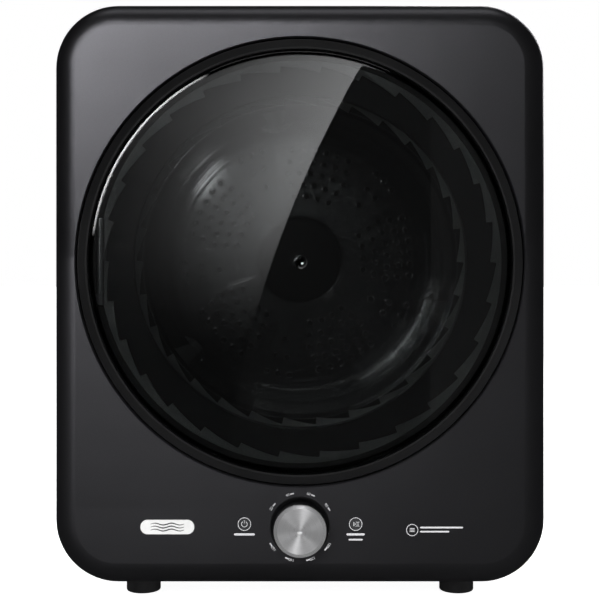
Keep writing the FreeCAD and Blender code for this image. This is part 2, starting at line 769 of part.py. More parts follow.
def knob_shaft():
    return rod(0, CONTROL_Z, KNOB_SHAFT_R, -KNOB_PROUD + KNOB_SHAFT_INSET, BOARD_DEPTH - 2)


def encoder_housing():
    front = WELL_DEPTH + LIP_WALL + SHEET_GAP
    half = ENCODER_HALF
    body = box(-half, half, front, BOARD_DEPTH, CONTROL_Z - half, CONTROL_Z + half)
    return body.cut(rod(0, CONTROL_Z, KNOB_SHAFT_R + RUNNING_GAP, front - OVER, BOARD_DEPTH - 1))


def push_button(x):
    """A cap that slides in the panel; its collar stops it behind the panel."""
    return turned([
        (0, -BUTTON_PROUD, 0),
        (BUTTON_R, -BUTTON_PROUD, 0.6),
        (BUTTON_R, PANEL_WALL, 0),
        (BUTTON_R + BUTTON_COLLAR, PANEL_WALL, 0),
        (BUTTON_R + BUTTON_COLLAR, PANEL_WALL + BUTTON_COLLAR, 0),
        (0, PANEL_WALL + BUTTON_COLLAR, 0)], x, BUTTON_Z)


def control_board():
    board = box(-BOARD_HALF_WIDTH, BOARD_HALF_WIDTH, BOARD_DEPTH, BOARD_DEPTH + BOARD_WALL,
                CONTROL_Z - BOARD_HALF_HEIGHT, CONTROL_Z + BOARD_HALF_HEIGHT)
    pieces = [board]
    for side in (-1, 1):
        x = side * BUTTON_X
        switch_front = PANEL_WALL + BUTTON_COLLAR + BUTTON_TRAVEL + SHEET_GAP
        pieces.append(box(x - 3, x + 3, switch_front, BOARD_DEPTH + OVER, BUTTON_Z - 3, BUTTON_Z + 3))
    for x in RELAY_XS:
        pieces.append(box(x - RELAY_SIZE / 2, x + RELAY_SIZE / 2, BOARD_DEPTH, BOARD_DEPTH + RELAY_SIZE - 2,
                          CONTROL_Z - RELAY_SIZE - 4, CONTROL_Z - 2))
    return fuse(pieces)


def control_housing():
    outer = box(-TRAY_HALF_WIDTH, TRAY_HALF_WIDTH, TRAY_FRONT, TRAY_BACK,
                CONTROL_Z - TRAY_HALF_HEIGHT, CONTROL_Z + TRAY_HALF_HEIGHT)
    half_width, half_height = TRAY_HALF_WIDTH - TRAY_WALL, TRAY_HALF_HEIGHT - TRAY_WALL
    inner = box(-half_width, half_width, TRAY_FRONT - OVER, TRAY_BACK - TRAY_WALL,
                CONTROL_Z - half_height, CONTROL_Z + half_height)
    tray = outer.cut(inner)
    low = CONTROL_Z - TRAY_HALF_HEIGHT
    for side in (-1, 1):
        x = side * (BOARD_HALF_WIDTH - 4)
        tray = tray.fuse(box(x - 4, x + 4, BOARD_DEPTH + BOARD_WALL, TRAY_BACK - 1, low + 1, low + 12))
    return tray.removeSplitter()


def badge_plate():
    half = BADGE_WIDTH / 2
    low = CONTROL_Z - BADGE_HEIGHT / 2
    high = CONTROL_Z + BADGE_HEIGHT / 2
    radius = BADGE_HEIGHT / 2 - 0.1
    return plate([(BADGE_X - half, low, radius), (BADGE_X + half, low, radius),
                  (BADGE_X + half, high, radius), (BADGE_X - half, high, radius)], -BADGE_WALL, 0)


# ---- drum ----
def drum_shell():
    inner = DRUM_R - DRUM_WALL
    shoulder = DRUM_FRONT + NECK_LENGTH
    shell = turned([
        (NECK_R, DRUM_FRONT, 0),
        (NECK_R + DRUM_WALL, DRUM_FRONT, 0),
        (NECK_R + DRUM_WALL, shoulder, 3.0),
        (DRUM_R, shoulder, 8.0),
        (DRUM_R, DRUM_BACK, 0),
        (inner, DRUM_BACK, 0),
        (inner, shoulder + DRUM_WALL, 7.0),
        (NECK_R, shoulder + DRUM_WALL, 4.0)])
    return shell


def sector_pad():
    """One raised, perforated sector, centred on 0 degrees."""
    half = math.radians(SECTOR_HALF)
    corners = [(SECTOR_INNER_R * math.cos(side * half), DOOR_Z + SECTOR_INNER_R * math.sin(side * half), 7.0)
               for side in (-1, 1)]
    wide = math.radians(SECTOR_HALF + 1.0)
    outer_chord = SECTOR_OUTER_R / math.cos(wide)
    corners += [(outer_chord * math.cos(side * wide), DOOR_Z + outer_chord * math.sin(side * wide), 12.0)
                for side in (1, -1)]
    pad = plate(corners, WALL_FACE - SECTOR_RISE, WALL_FACE + DRUM_WALL / 2)
    return pad.common(rod(0, DOOR_Z, SECTOR_OUTER_R, WALL_FACE - 2 * SECTOR_RISE, WALL_FACE + DRUM_WALL))


def row_of_holes(count, radius, middle):
    step = math.degrees(HOLE_PITCH / radius)
    holes = []
    for index in range(count):
        x, z = polar(radius, middle + (index - (count - 1) / 2) * step)
        holes.append(rod(x, z, HOLE_R, WALL_FACE - 2 * SECTOR_RISE, WALL_FACE + 2 * DRUM_WALL))
    return holes


def drum_rear_wall():
    raised, low = WALL_FACE, WALL_FACE + WALL_STEP
    edge_r = DRUM_R - DRUM_WALL
    wall = turned([
        (AXLE_R, low, 0),
        (HUB_R - WALL_STEP, low, 2.0),
        (HUB_R, raised, 2.0),
        (DISC_R - WALL_STEP / 2, raised, 2.0),
        (DISC_R, low - 1, 2.0),
        (DISC_R + 11, low - 1, 2.0),
        (DISC_R + 14, raised + 1, 2.0),
        (STEP_R - 6, raised + 1, 2.0),
        (STEP_R, low - 1, 2.0),
        (edge_r - DRUM_WALL, low - 1, 11.0),
        (edge_r - DRUM_WALL, low - 20, 0),
        (edge_r, low - 20, 0),
        (edge_r, low, 12.0),
        (STEP_R - 0.5, low, 2.0),
        (STEP_R - 6.5, raised + 2, 2.0),
        (DISC_R + 14.5, raised + 2, 2.0),
        (DISC_R + 11.5, low, 2.0),
        (DISC_R - 0.5, low, 2.0),
        (DISC_R - WALL_STEP / 2 - 0.5, raised + 1, 2.0),
        (HUB_R + 0.5, raised + 1, 2.0),
        (HUB_R - WALL_STEP + 0.5, low + 1, 2.0),
        (AXLE_R, low + 1, 0)])
    pad = sector_pad()
    holes = []
    pads = []
    for dense in around(SECTORS, SECTOR_START):
        pads.append(spun(pad, dense))
        for row, count in enumerate(DENSE_ROWS):
            holes += row_of_holes(count, DENSE_OUTER_R - row * DENSE_ROW_PITCH, dense)
        sparse = dense + 180.0 / SECTORS
        for row, count in enumerate(SPARSE_ROWS):
            holes += row_of_holes(count, SPARSE_OUTER_R - row * SPARSE_ROW_PITCH, sparse)
    return wall.fuse(pads).removeSplitter().cut(Part.makeCompound(holes))


def drum_lifter(angle):
    inner = DRUM_R - DRUM_WALL
    top = inner - LIFTER_HEIGHT
    half_base, half_top = LIFTER_BASE / 2, LIFTER_TOP / 2
    vane = plate([
        (top, DOOR_Z - half_top, 8.0),
        (inner + 2, DOOR_Z - half_base, 0),
        (inner + 2, DOOR_Z + half_base, 0),
        (top, DOOR_Z + half_top, 8.0)], LIFTER_FRONT, LIFTER_BACK)
    vane = vane.common(rod(0, DOOR_Z, inner, LIFTER_FRONT - OVER, LIFTER_BACK + OVER))
    cuts = []
    half = LIFTER_SLOT_WIDTH / 2
    for index in range(LIFTER_SLOTS):
        middle = (LIFTER_FRONT + LIFTER_BACK) / 2 + (index - (LIFTER_SLOTS - 1) / 2) * LIFTER_SLOT_PITCH
        cuts.append(box(top + 14, top + 14 + LIFTER_SLOT_HEIGHT, middle - half, middle + half,
                        DOOR_Z - LIFTER_BASE, DOOR_Z + LIFTER_BASE))
    return spun(vane.cut(Part.makeCompound(cuts)), angle)


def drum_hub_cap():
    low = WALL_FACE + WALL_STEP
    return turned([
        (0, low - HUB_CAP_RISE, 0),
        (HUB_CAP_R / 2, low - HUB_CAP_RISE + 1, 6.0),
        (HUB_CAP_R, low - 3, 2.0),
        (HUB_CAP_R, low, 0),
        (0, low, 0)])


def drum_axle():
    front = WALL_FACE + WALL_STEP
    flange = rod(0, DOOR_Z, HUB_R - 2 * WALL_STEP, front + DRUM_WALL, front + DRUM_WALL + AXLE_FLANGE)
    return fuse([rod(0, DOOR_Z, AXLE_R, front + 0.5, AXLE_BACK), flange])


def rear_bearing():
    return tube(0, DOOR_Z, AXLE_R + RUNNING_GAP, AXLE_R + BEARING_WALL, BEARING_FRONT, BEARING_BACK)


def bearing_housing():
    """A pressed bar across the rear panel with the boss that holds the bearing."""
    front = AXLE_BACK + 2
    back = front + BAR_WALL
    low, high = DOOR_Z - BAR_HALF, DOOR_Z + BAR_HALF
    inner = HEATER_R + BOSS_WALL
    outer = inner + BAR_FOOT
    bar = box(-outer, outer, front, back, low, high)
    boss = rod(0, DOOR_Z, AXLE_R + BEARING_WALL + BOSS_WALL, BEARING_FRONT, back)
    bore = rod(0, DOOR_Z, AXLE_R + BEARING_WALL, BEARING_FRONT - OVER, BEARING_BACK)
    end = rod(0, DOOR_Z, AXLE_R + OVER, BEARING_BACK - OVER, AXLE_BACK + 1)
    feet = []
    for side in (-1, 1):
        x0, x1 = sorted((side * inner, side * outer))
        feet.append(box(x0, x1, front, REAR_FACE, low, high))
    return fuse([bar, boss] + feet).cut(bore).cut(end)


def front_felt():
    inner = COLLAR_R + COLLAR_WALL
    return tube(0, DOOR_Z, inner, NECK_R - TURNING_GAP, DRUM_FRONT + 2, COLLAR_BACK - 1)


def rear_felt():
    back_of_wall = WALL_FACE + WALL_STEP
    return tube(0, DOOR_Z, HEATER_R - 8, HEATER_R, back_of_wall + TURNING_GAP, HEATER_FRONT)


def roller_place(side):
    reach = DRUM_R + TURNING_GAP + ROLLER_R
    angle = math.radians(ROLLER_ANGLE)
    return side * reach * math.sin(angle), DOOR_Z - reach * math.cos(angle)


def support_roller(side):
    x, z = roller_place(side)
    wheel = turned([
        (ROLLER_AXLE_R + RUNNING_GAP, ROLLER_FRONT, 0),
        (ROLLER_R, ROLLER_FRONT, 2.0),
        (ROLLER_R, ROLLER_BACK, 2.0),
        (ROLLER_AXLE_R + RUNNING_GAP, ROLLER_BACK, 0)], x, z)
    groove = tube(x, z, 10, ROLLER_R - 6, ROLLER_BACK - 4, ROLLER_BACK + OVER)
    return wheel.cut(groove)


def roller_axle(side):
    x, z = roller_place(side)
    front = PANEL_DEPTH + SHEET
    pieces = [rod(x, z, ROLLER_AXLE_R, front, ROLLER_BACK + 2)]
    pieces.append(rod(x, z, ROLLER_AXLE_R + 5, front, ROLLER_FRONT - SHEET_GAP))
    half_x, half_z = AXLE_PLATE_HALF_WIDTH, AXLE_PLATE_HALF_HEIGHT
    corners = [(x - half_x, z - half_z, 5), (x + half_x, z - half_z, 5),
               (x + half_x, z + half_z, 5), (x - half_x, z + half_z, 5)]
    pieces.append(plate(corners, front, front + AXLE_PLATE_WALL))
    return fuse(pieces)


# ---- motor, fan and belt ----
def motor_casing():
    shell = turned([
        (SHAFT_R + 2, MOTOR_FRONT, 0),
        (26, MOTOR_FRONT, 3.0),
        (MOTOR_R - 6, MOTOR_FRONT + 14, 6.0),
        (MOTOR_R - 2, MOTOR_FRONT + 40, 0),
        (MOTOR_R, MOTOR_FRONT + 40, 0),
        (MOTOR_R, MOTOR_BACK - 40, 0),
        (MOTOR_R - 2, MOTOR_BACK - 40, 0),
        (MOTOR_R - 6, MOTOR_BACK - 14, 6.0),
        (26, MOTOR_BACK, 3.0),
        (SHAFT_R + 2, MOTOR_BACK, 0)], MOTOR_X, MOTOR_Z)
    hollow = rod(MOTOR_X, MOTOR_Z, MOTOR_R - MOTOR_WALL, MOTOR_FRONT + MOTOR_CAP, MOTOR_BACK - MOTOR_CAP)
    windings = tube(MOTOR_X, MOTOR_Z, SHAFT_R + 10, MOTOR_R - MOTOR_WALL, MOTOR_FRONT + 45, MOTOR_BACK - 45)
    shell = shell.cut(hollow.cut(windings))
    gap = box(-3, 3, MOTOR_FRONT + 14, MOTOR_FRONT + 34, MOTOR_Z, MOTOR_Z + MOTOR_R + OVER)
    gap.translate(Vector(MOTOR_X, 0, 0))
    slots = [spun(gap, angle, MOTOR_X, MOTOR_Z) for angle in around(12)]
    return shell.cut(Part.makeCompound(slots).common(
        tube(MOTOR_X, MOTOR_Z, MOTOR_R - 12, MOTOR_R + OVER, MOTOR_FRONT, MOTOR_BACK)))


def motor_cradle():
    """The base that holds the motor's two end rings and the idler's pivot stud."""
    floor = BASE_TOP
    top = floor + CRADLE_WALL
    pieces = [box(MOTOR_X - CRADLE_HALF, BASE_HALF - 5, MOTOR_FRONT + 2, MOTOR_BACK - 2, floor, top)]
    pieces.append(box(IDLER_PIVOT_X - 16, MOTOR_X - CRADLE_HALF + 10,
                      MOTOR_BACK - 10, MOTOR_BACK - 2, floor, top))
    for d in (MOTOR_FRONT + 2, MOTOR_BACK - 12):
        cheek = plate([(MOTOR_X - 40, floor, 0), (BASE_HALF - 8, floor, 0),
                       (MOTOR_X + 26, MOTOR_Z + 6, 8), (MOTOR_X - 26, MOTOR_Z + 6, 8)], d, d + CRADLE_WALL)
        pieces.append(cheek)
    pieces.append(plate([(IDLER_PIVOT_X - 16, floor, 0), (IDLER_PIVOT_X + 16, floor, 0),
                         (IDLER_PIVOT_X + 12, IDLER_PIVOT_Z + 12, 10),
                         (IDLER_PIVOT_X - 12, IDLER_PIVOT_Z + 12, 10)],
                        MOTOR_BACK - 2 - CRADLE_WALL, MOTOR_BACK - 2))
    pieces.append(rod(IDLER_PIVOT_X, IDLER_PIVOT_Z, IDLER_STUD_R, MOTOR_BACK - 3, MOTOR_BACK + 8))
    cradle = fuse(pieces)
    return cradle.cut(rod(MOTOR_X, MOTOR_Z, MOTOR_R + SHEET_GAP, MOTOR_FRONT - OVER, MOTOR_BACK + OVER))


def motor_shaft():
    return rod(MOTOR_X, MOTOR_Z, SHAFT_R, FAN_FRONT - 2, BELT_MIDDLE + BELT_WIDTH)


def belt_pulley(bore, radius, x, z):
    """A pulley with a rim on either side of the belt."""
    half = BELT_WIDTH / 2 + 1
    front, back = BELT_MIDDLE - half, BELT_MIDDLE + half
    rim_r = radius + PULLEY_RIM
    return turned([
        (bore, front - PULLEY_RIM, 0),
        (rim_r, front - PULLEY_RIM, 1.0),
        (rim_r, front, 0),
        (radius, front, 0),
        (radius, back, 0),
        (rim_r, back, 0),
        (rim_r, back + PULLEY_RIM, 1.0),
        (bore, back + PULLEY_RIM, 0)], x, z)


def motor_pulley():
    return belt_pulley(SHAFT_R, PULLEY_R, MOTOR_X, MOTOR_Z)


def belt_circles(extra):
    """Centre and radius of what the belt goes round, anticlockwise from the drum."""
    return [(0.0, DOOR_Z, DRUM_R + extra),
            (IDLER_X, IDLER_Z, IDLER_R + extra),
            (MOTOR_X, MOTOR_Z, PULLEY_R + extra)]


def belt_loop(extra):
    """The loop round the outside of the three circles, as a face across the depth."""
    circles = belt_circles(extra)
    spans = []
    for index, (x0, z0, r0) in enumerate(circles):
        x1, z1, r1 = circles[(index + 1) % len(circles)]
        distance = math.hypot(x1 - x0, z1 - z0)
        heading = math.atan2(z1 - z0, x1 - x0)
        lean = math.acos((r0 - r1) / distance)
        side = heading - lean
        leave = Vector(x0 + r0 * math.cos(side), z0 + r0 * math.sin(side), 0)
        arrive = Vector(x1 + r1 * math.cos(side), z1 + r1 * math.sin(side), 0)
        spans.append((leave, arrive, side))
    edges = []
    for index, (leave, arrive, side) in enumerate(spans):
        edges.append(Part.LineSegment(leave, arrive).toShape())
        x, z, radius = circles[(index + 1) % len(circles)]
        next_leave, _, next_side = spans[(index + 1) % len(spans)]
        turn = (next_side - side) % (2 * math.pi)
        middle = side + turn / 2
        bend = Vector(x + radius * math.cos(middle), z + radius * math.sin(middle), 0)
        edges.append(Part.Arc(arrive, bend, next_leave).toShape())
    face = Part.Face(Part.Wire(edges))
    face.rotate(Vector(0, 0, 0), Vector(1, 0, 0), 90)
    face.translate(Vector(0, BELT_MIDDLE - BELT_WIDTH / 2, 0))
    return face.extrude(Vector(0, BELT_WIDTH, 0))


def drive_belt():
    return belt_loop(TURNING_GAP + BELT_WALL).cut(belt_loop(TURNING_GAP))


def idler_arm():
    d0, d1 = MOTOR_BACK, MOTOR_BACK + IDLER_ARM_WALL
    reach_x, reach_z = IDLER_X - IDLER_PIVOT_X, IDLER_Z - IDLER_PIVOT_Z
    length = math.hypot(reach_x, reach_z)
    side_x, side_z = -reach_z / length * IDLER_ARM_HALF, reach_x / length * IDLER_ARM_HALF
    bar = plate([(IDLER_PIVOT_X + side_x, IDLER_PIVOT_Z + side_z, 0),
                 (IDLER_PIVOT_X - side_x, IDLER_PIVOT_Z - side_z, 0),
                 (IDLER_X - side_x, IDLER_Z - side_z, 0),
                 (IDLER_X + side_x, IDLER_Z + side_z, 0)], d0, d1)
    places = ((IDLER_PIVOT_X, IDLER_PIVOT_Z), (IDLER_X, IDLER_Z))
    ends = [rod(x, z, IDLER_ARM_HALF, d0, d1) for x, z in places]
    stud = rod(IDLER_X, IDLER_Z, IDLER_STUD_R, d1 - OVER, BELT_MIDDLE + BELT_WIDTH / 2 + 6)
    arm = fuse([bar, stud] + ends)
    return arm.cut(rod(IDLER_PIVOT_X, IDLER_PIVOT_Z, IDLER_STUD_R + RUNNING_GAP, d0 - OVER, d1 + OVER))


def idler_pulley():
    return belt_pulley(IDLER_STUD_R + RUNNING_GAP, IDLER_R, IDLER_X, IDLER_Z)


def idler_spring():
    """The tension spring from the arm down to the base, as its closed outer shape."""
    x = (IDLER_PIVOT_X + IDLER_X) / 2
    top = (IDLER_PIVOT_Z + IDLER_Z) / 2 - 16
    return post(x, MOTOR_BACK + IDLER_ARM_WALL / 2, SPRING_R, BASE_TOP, top)


def blower_impeller():
    inner = FAN_R - BLADE_REACH
    half = BLADE_WALL / 2
    hub = rod(MOTOR_X, MOTOR_Z, FAN_HUB_R, FAN_FRONT + 10, FAN_BACK)
    back = rod(MOTOR_X, MOTOR_Z, FAN_R, FAN_BACK - DUCT_WALL, FAN_BACK)
    rim = tube(MOTOR_X, MOTOR_Z, inner, FAN_R, FAN_FRONT, FAN_FRONT + DUCT_WALL)
    blade = box(MOTOR_X + inner, MOTOR_X + FAN_R - 1, FAN_FRONT, FAN_BACK, MOTOR_Z - half, MOTOR_Z + half)
    blade.rotate(Vector(MOTOR_X + FAN_R - BLADE_REACH / 2, 0, MOTOR_Z), AXIS_Y, BLADE_LEAN)
    blade = blade.common(tube(MOTOR_X, MOTOR_Z, inner, FAN_R, FAN_FRONT, FAN_BACK))
    blades = [spun(blade, angle, MOTOR_X, MOTOR_Z) for angle in around(FAN_BLADES)]
    wheel = back.fuse([hub, rim] + blades).removeSplitter()
    return wheel.cut(rod(MOTOR_X, MOTOR_Z, SHAFT_R, FAN_FRONT - OVER, FAN_BACK + OVER))


def fan_outline(grow):
    """The fan case's outer or inner block: the scroll and its outlet along the floor."""
    low = MOTOR_Z - FAN_CASE_R + grow
    scroll = rod(MOTOR_X, MOTOR_Z, FAN_CASE_R - grow, FAN_CASE_FRONT + grow, FAN_CASE_BACK - grow)
    outlet = box(OUTLET_X + OUTLET_R + OVER, MOTOR_X, FAN_CASE_FRONT + grow, FAN_CASE_BACK - grow,
                 low, low + FAN_OUTLET_HEIGHT - 2 * grow)
    return scroll, outlet


def blower_housing():
    scroll, outlet = fan_outline(0)
    inner_scroll, inner_outlet = fan_outline(DUCT_WALL)
    inner_outlet = inner_outlet.fuse(box(OUTLET_X + OUTLET_R, 0, FAN_CASE_FRONT + DUCT_WALL,
                                         FAN_CASE_BACK - DUCT_WALL, MOTOR_Z - FAN_CASE_R + DUCT_WALL,
                                         MOTOR_Z - FAN_CASE_R + FAN_OUTLET_HEIGHT - DUCT_WALL))
    case = fuse([scroll, outlet]).cut(inner_scroll).cut(inner_outlet)
    case = case.cut(rod(MOTOR_X, MOTOR_Z, FAN_INLET_R,
                        FAN_CASE_FRONT - OVER, FAN_CASE_FRONT + DUCT_WALL + OVER))
    return case.cut(rod(MOTOR_X, MOTOR_Z, SHAFT_R + TURNING_GAP, FAN_BACK, FAN_CASE_BACK + OVER))


# ---- air path ----
def duct_corners(inset):
    """The front duct's outline, from under the door opening down to the fan inlet."""
    top = DOOR_Z - OPENING_R - COLLAR_WALL - 3
    side = FILTER_HALF + DUCT_SIDE
    return [(-side + inset, top, 0),
            (-side + inset, 140 + inset, 10),
            (66, 44 + inset, 30),
            (MOTOR_X + 54 - inset, 44 + inset, 40),
            (MOTOR_X + 54 - inset, 128 - inset, 30),
            (112 - inset, 128 - inset, 6),
            (side - inset, 140, 10),
            (side - inset, top, 0)]


def front_duct():
    front = PANEL_DEPTH + SHEET + SHEET_GAP
    back = FAN_CASE_FRONT - SHEET_GAP
    duct = plate(duct_corners(0), front, back)
    duct = duct.cut(plate(duct_corners(DUCT_WALL), front + DUCT_WALL, back - DUCT_WALL))
    duct = duct.cut(rod(MOTOR_X, MOTOR_Z, FAN_INLET_R, back - 2 * DUCT_WALL, back + OVER))
    side = FILTER_HALF + DUCT_SIDE
    lid_top = DOOR_Z - DRUM_R - 6
    lid_low = lid_top - DUCT_WALL
    wall_front = DRUM_FRONT - 3
    duct = duct.cut(box(-side, side, DRUM_FRONT - 1, back + OVER, lid_top, DOOR_Z))
    duct = duct.cut(rod(0, DOOR_Z, COLLAR_R + COLLAR_WALL, front - OVER, back + OVER))
    lid = box(-side, side, wall_front, back, lid_low, lid_top)
    wall_top = DOOR_Z - OPENING_R - COLLAR_WALL - 5
    wall = box(-side, side, wall_front, wall_front + DUCT_WALL, lid_low, wall_top)
    lid = lid.common(plate(duct_corners(0), front, back))
    wall = wall.common(plate(duct_corners(0), front, back))
    return fuse([duct, lid, wall])


def lint_filter():
    """A frame with a slotted top that follows the throat's curve."""
    body = filter_slot(0).cut(rod(0, DOOR_Z, COLLAR_R, FILTER_FRONT - OVER, FILTER_BACK + OVER))
    low = DOOR_Z - OPENING_R - FILTER_DROP
    front, back = FILTER_FRONT + FILTER_WALL, FILTER_BACK - FILTER_WALL
    hollow = box(-FILTER_HALF + 3, FILTER_HALF - 3, front, back, low + 3, DOOR_Z)
    grille = filter_slot(0).common(tube(0, DOOR_Z, COLLAR_R, COLLAR_R + 2.5, FILTER_FRONT, FILTER_BACK))
    slots = []
    half = 0.3 * FILTER_BAR_PITCH
    for index in range(FILTER_BARS):
        x = (index - (FILTER_BARS - 1) / 2) * FILTER_BAR_PITCH
        slots.append(box(x - half, x + half, front, back, low, DOOR_Z))
    return body.cut(hollow).fuse(grille.cut(Part.makeCompound(slots))).removeSplitter()


def exhaust_elbow():
    """The box beside the fan outlet that turns the air to the back."""
    low = MOTOR_Z - FAN_CASE_R
    high = OUTLET_Z + OUTLET_R
    x0, x1 = OUTLET_X - OUTLET_R, OUTLET_X + OUTLET_R
    elbow = box(x0, x1, FAN_CASE_FRONT, FAN_CASE_BACK, low, high)
    inner = box(x0 + DUCT_WALL, x1 - DUCT_WALL, FAN_CASE_FRONT + DUCT_WALL, FAN_CASE_BACK - DUCT_WALL,
                low + DUCT_WALL, high - DUCT_WALL)
    way_in = box(x1 - 2 * DUCT_WALL, x1 + OVER, FAN_CASE_FRONT + DUCT_WALL, FAN_CASE_BACK - DUCT_WALL,
                 low + DUCT_WALL, low + FAN_OUTLET_HEIGHT - DUCT_WALL)
    way_out = rod(OUTLET_X, OUTLET_Z, OUTLET_R - DUCT_WALL,
                  FAN_CASE_BACK - 2 * DUCT_WALL, FAN_CASE_BACK + OVER)
    return elbow.cut(inner).cut(way_in).cut(way_out)


def exhaust_pipe():
    """The pipe from the elbow back to the spigot."""
    return tube(OUTLET_X, OUTLET_Z, OUTLET_R - DUCT_WALL, OUTLET_R, FAN_CASE_BACK, REAR_FACE - SHEET_GAP)


def exhaust_collar():
    """The spigot that a vent hose slides over."""
    spigot = rod(OUTLET_X, OUTLET_Z, OUTLET_R, REAR_FACE, DEPTH + OUTLET_PROUD)
    flange = rod(OUTLET_X, OUTLET_Z, OUTLET_R + COLLAR_FLANGE, DEPTH, DEPTH + 2)
    bore = rod(OUTLET_X, OUTLET_Z, OUTLET_R - DUCT_WALL, REAR_FACE - OVER, DEPTH + OUTLET_PROUD + OVER)
    return fuse([spigot, flange]).cut(bore)


def heater_pan():
    """A shallow pan open to the drum, with an inlet on its back."""
    back = AXLE_BACK + 1
    pan = rod(0, DOOR_Z, HEATER_R, HEATER_FRONT, back)
    pan = pan.cut(rod(0, DOOR_Z, HEATER_R - SHEET, HEATER_FRONT - OVER, back - SHEET))
    pan = pan.cut(rod(0, DOOR_Z, AXLE_R + BEARING_WALL + BOSS_WALL + SHEET_GAP, HEATER_FRONT, back + OVER))
    inlets = [rod(*polar(90, angle), HEATER_INLET_R, back - 2 * SHEET, back + OVER)
              for angle in around(4, 45)]
    return pan.cut(Part.makeCompound(inlets))


def heater_element():
    """Two turns of sheathed element on the pan."""
    d = (HEATER_FRONT + AXLE_BACK) / 2 + 4
    coils = []
    for radius in (HEATER_COIL_R, HEATER_COIL_R + HEATER_TURN_GAP):
        coils.append(Part.makeTorus(radius, HEATER_TUBE_R, Vector(0, d, DOOR_Z), AXIS_Y))
    back = AXLE_BACK + 1 - SHEET
    for angle in around(6, 15):
        clip = box(HEATER_COIL_R - 8, HEATER_COIL_R + HEATER_TURN_GAP + 8, d, back, DOOR_Z - 3, DOOR_Z + 3)
        coils.append(spun(clip, angle))
    return fuse(coils)


def thermostats():
    """Two cans that stand on the pan's rim."""
    middle = (HEATER_FRONT + AXLE_BACK) / 2
    cans = []
    for angle in (62, 118):
        x, z = polar(HEATER_R + 1.0, angle)
        outward = Vector(x, 0, z - DOOR_Z)
        cans.append(Part.makeCylinder(THERMOSTAT_R, THERMOSTAT_HEIGHT, Vector(x, middle, z), outward))
    return Part.makeCompound(cans)


def start_capacitor():
    return post(CAPACITOR_X, CAPACITOR_DEPTH, CAPACITOR_R, BASE_TOP, BASE_TOP + CAPACITOR_HEIGHT)


def cord_gland():
    rim_r = GLAND_R + GLAND_RIM
    nut = rod(GLAND_X, GLAND_Z, rim_r, DEPTH, DEPTH + 8)
    body = rod(GLAND_X, GLAND_Z, GLAND_R, REAR_FACE - 10, DEPTH + 1)
    flange = rod(GLAND_X, GLAND_Z, rim_r, REAR_FACE - 6, REAR_FACE)
    return fuse([nut, body, flange]).cut(rod(GLAND_X, GLAND_Z, CORD_R, REAR_FACE - 11, DEPTH + 9))


def cabinet_screws():
    """Pan-head screws round the rear panel."""
    screws = []
    half = WIDTH / 2 - PANEL_SCREW_INSET
    places = [(side * half, z) for side in (-1, 1) for z in (150, 290, 430, 570)]
    places += [(x, TOTAL_HEIGHT - PANEL_SCREW_INSET) for x in (-180, 0, 180)]
    places += [(x, FOOT_HEIGHT + PANEL_SCREW_INSET) for x in (0, 180)]
    for x, z in places:
        screws.append(turned([(0, DEPTH, 0), (SCREW_HEAD_R, DEPTH, 0), (SCREW_HEAD_R, DEPTH + 2.2, 1.5),
                              (0, DEPTH + 2.6, 0)], x, z))
    return Part.makeCompound(screws)


# ---- every node ----
def nodes():
    made = {
        "cabinet_wrap": cabinet_wrap(),
        "front_panel": front_panel(),
        "front_bulkhead": front_bulkhead(),
        "rear_panel": rear_panel(),
        "base_pan": base_pan(),
        "door_trim_ring": door_trim_ring(),
        "door_window": door_window(),
        "door_frame": door_frame(),
        "door_bowl": door_bowl(),
        "door_back_cover": door_back_cover(),
        "door_seal": door_seal(),
        "door_hinge_leaf": door_hinge_leaf(),
        "hinge_bracket": hinge_bracket(),
        "hinge_pin": hinge_pin(),
        "door_striker": door_striker(),
        "door_catch": door_catch(),
        "door_screws": door_screws(),
        "knob_cap": knob_cap(),
        "control_knob": control_knob(),
        "knob_shaft": knob_shaft(),
        "encoder_housing": encoder_housing(),
        "power_button": push_button(-BUTTON_X),
        "start_button": push_button(BUTTON_X),
        "control_board": control_board(),
        "control_housing": control_housing(),
        "badge_plate": badge_plate(),
        "drum_shell": drum_shell(),
        "drum_rear_wall": drum_rear_wall(),
        "drum_hub_cap": drum_hub_cap(),
        "drum_axle": drum_axle(),
        "rear_bearing": rear_bearing(),
        "bearing_housing": bearing_housing(),
        "front_felt": front_felt(),
        "rear_felt": rear_felt(),
        "motor_casing": motor_casing(),
        "motor_cradle": motor_cradle(),
        "motor_shaft": motor_shaft(),
        "motor_pulley": motor_pulley(),
        "drive_belt": drive_belt(),
        "idler_arm": idler_arm(),
        "idler_pulley": idler_pulley(),
        "idler_spring": idler_spring(),
        "blower_impeller": blower_impeller(),
        "blower_housing": blower_housing(),
        "front_duct": front_duct(),
        "lint_filter": lint_filter(),
        "exhaust_elbow": exhaust_elbow(),
        "exhaust_pipe": exhaust_pipe(),
        "exhaust_collar": exhaust_collar(),
        "heater_pan": heater_pan(),
        "heater_element": heater_element(),
        "thermostats": thermostats(),
        "start_capacitor": start_capacitor(),
        "cord_gland": cord_gland(),
        "cabinet_screws": cabinet_screws(),
    }
    lifters = [drum_lifter(angle) for angle in around(LIFTERS, LIFTER_START)]
    made["drum_lifters"] = Part.makeCompound(lifters)
    made["levelling_feet"] = Part.makeCompound([levelling_foot(x, d) for x, d in foot_places()])
    made["support_roller_left"] = support_roller(-1)
    made["support_roller_right"] = support_roller(1)
    made["roller_axles"] = Part.makeCompound([roller_axle(side) for side in (-1, 1)])
    return made


os.makedirs("parts", exist_ok=True)
for node_name, node_shape in nodes().items():
    save(node_name, node_shape)
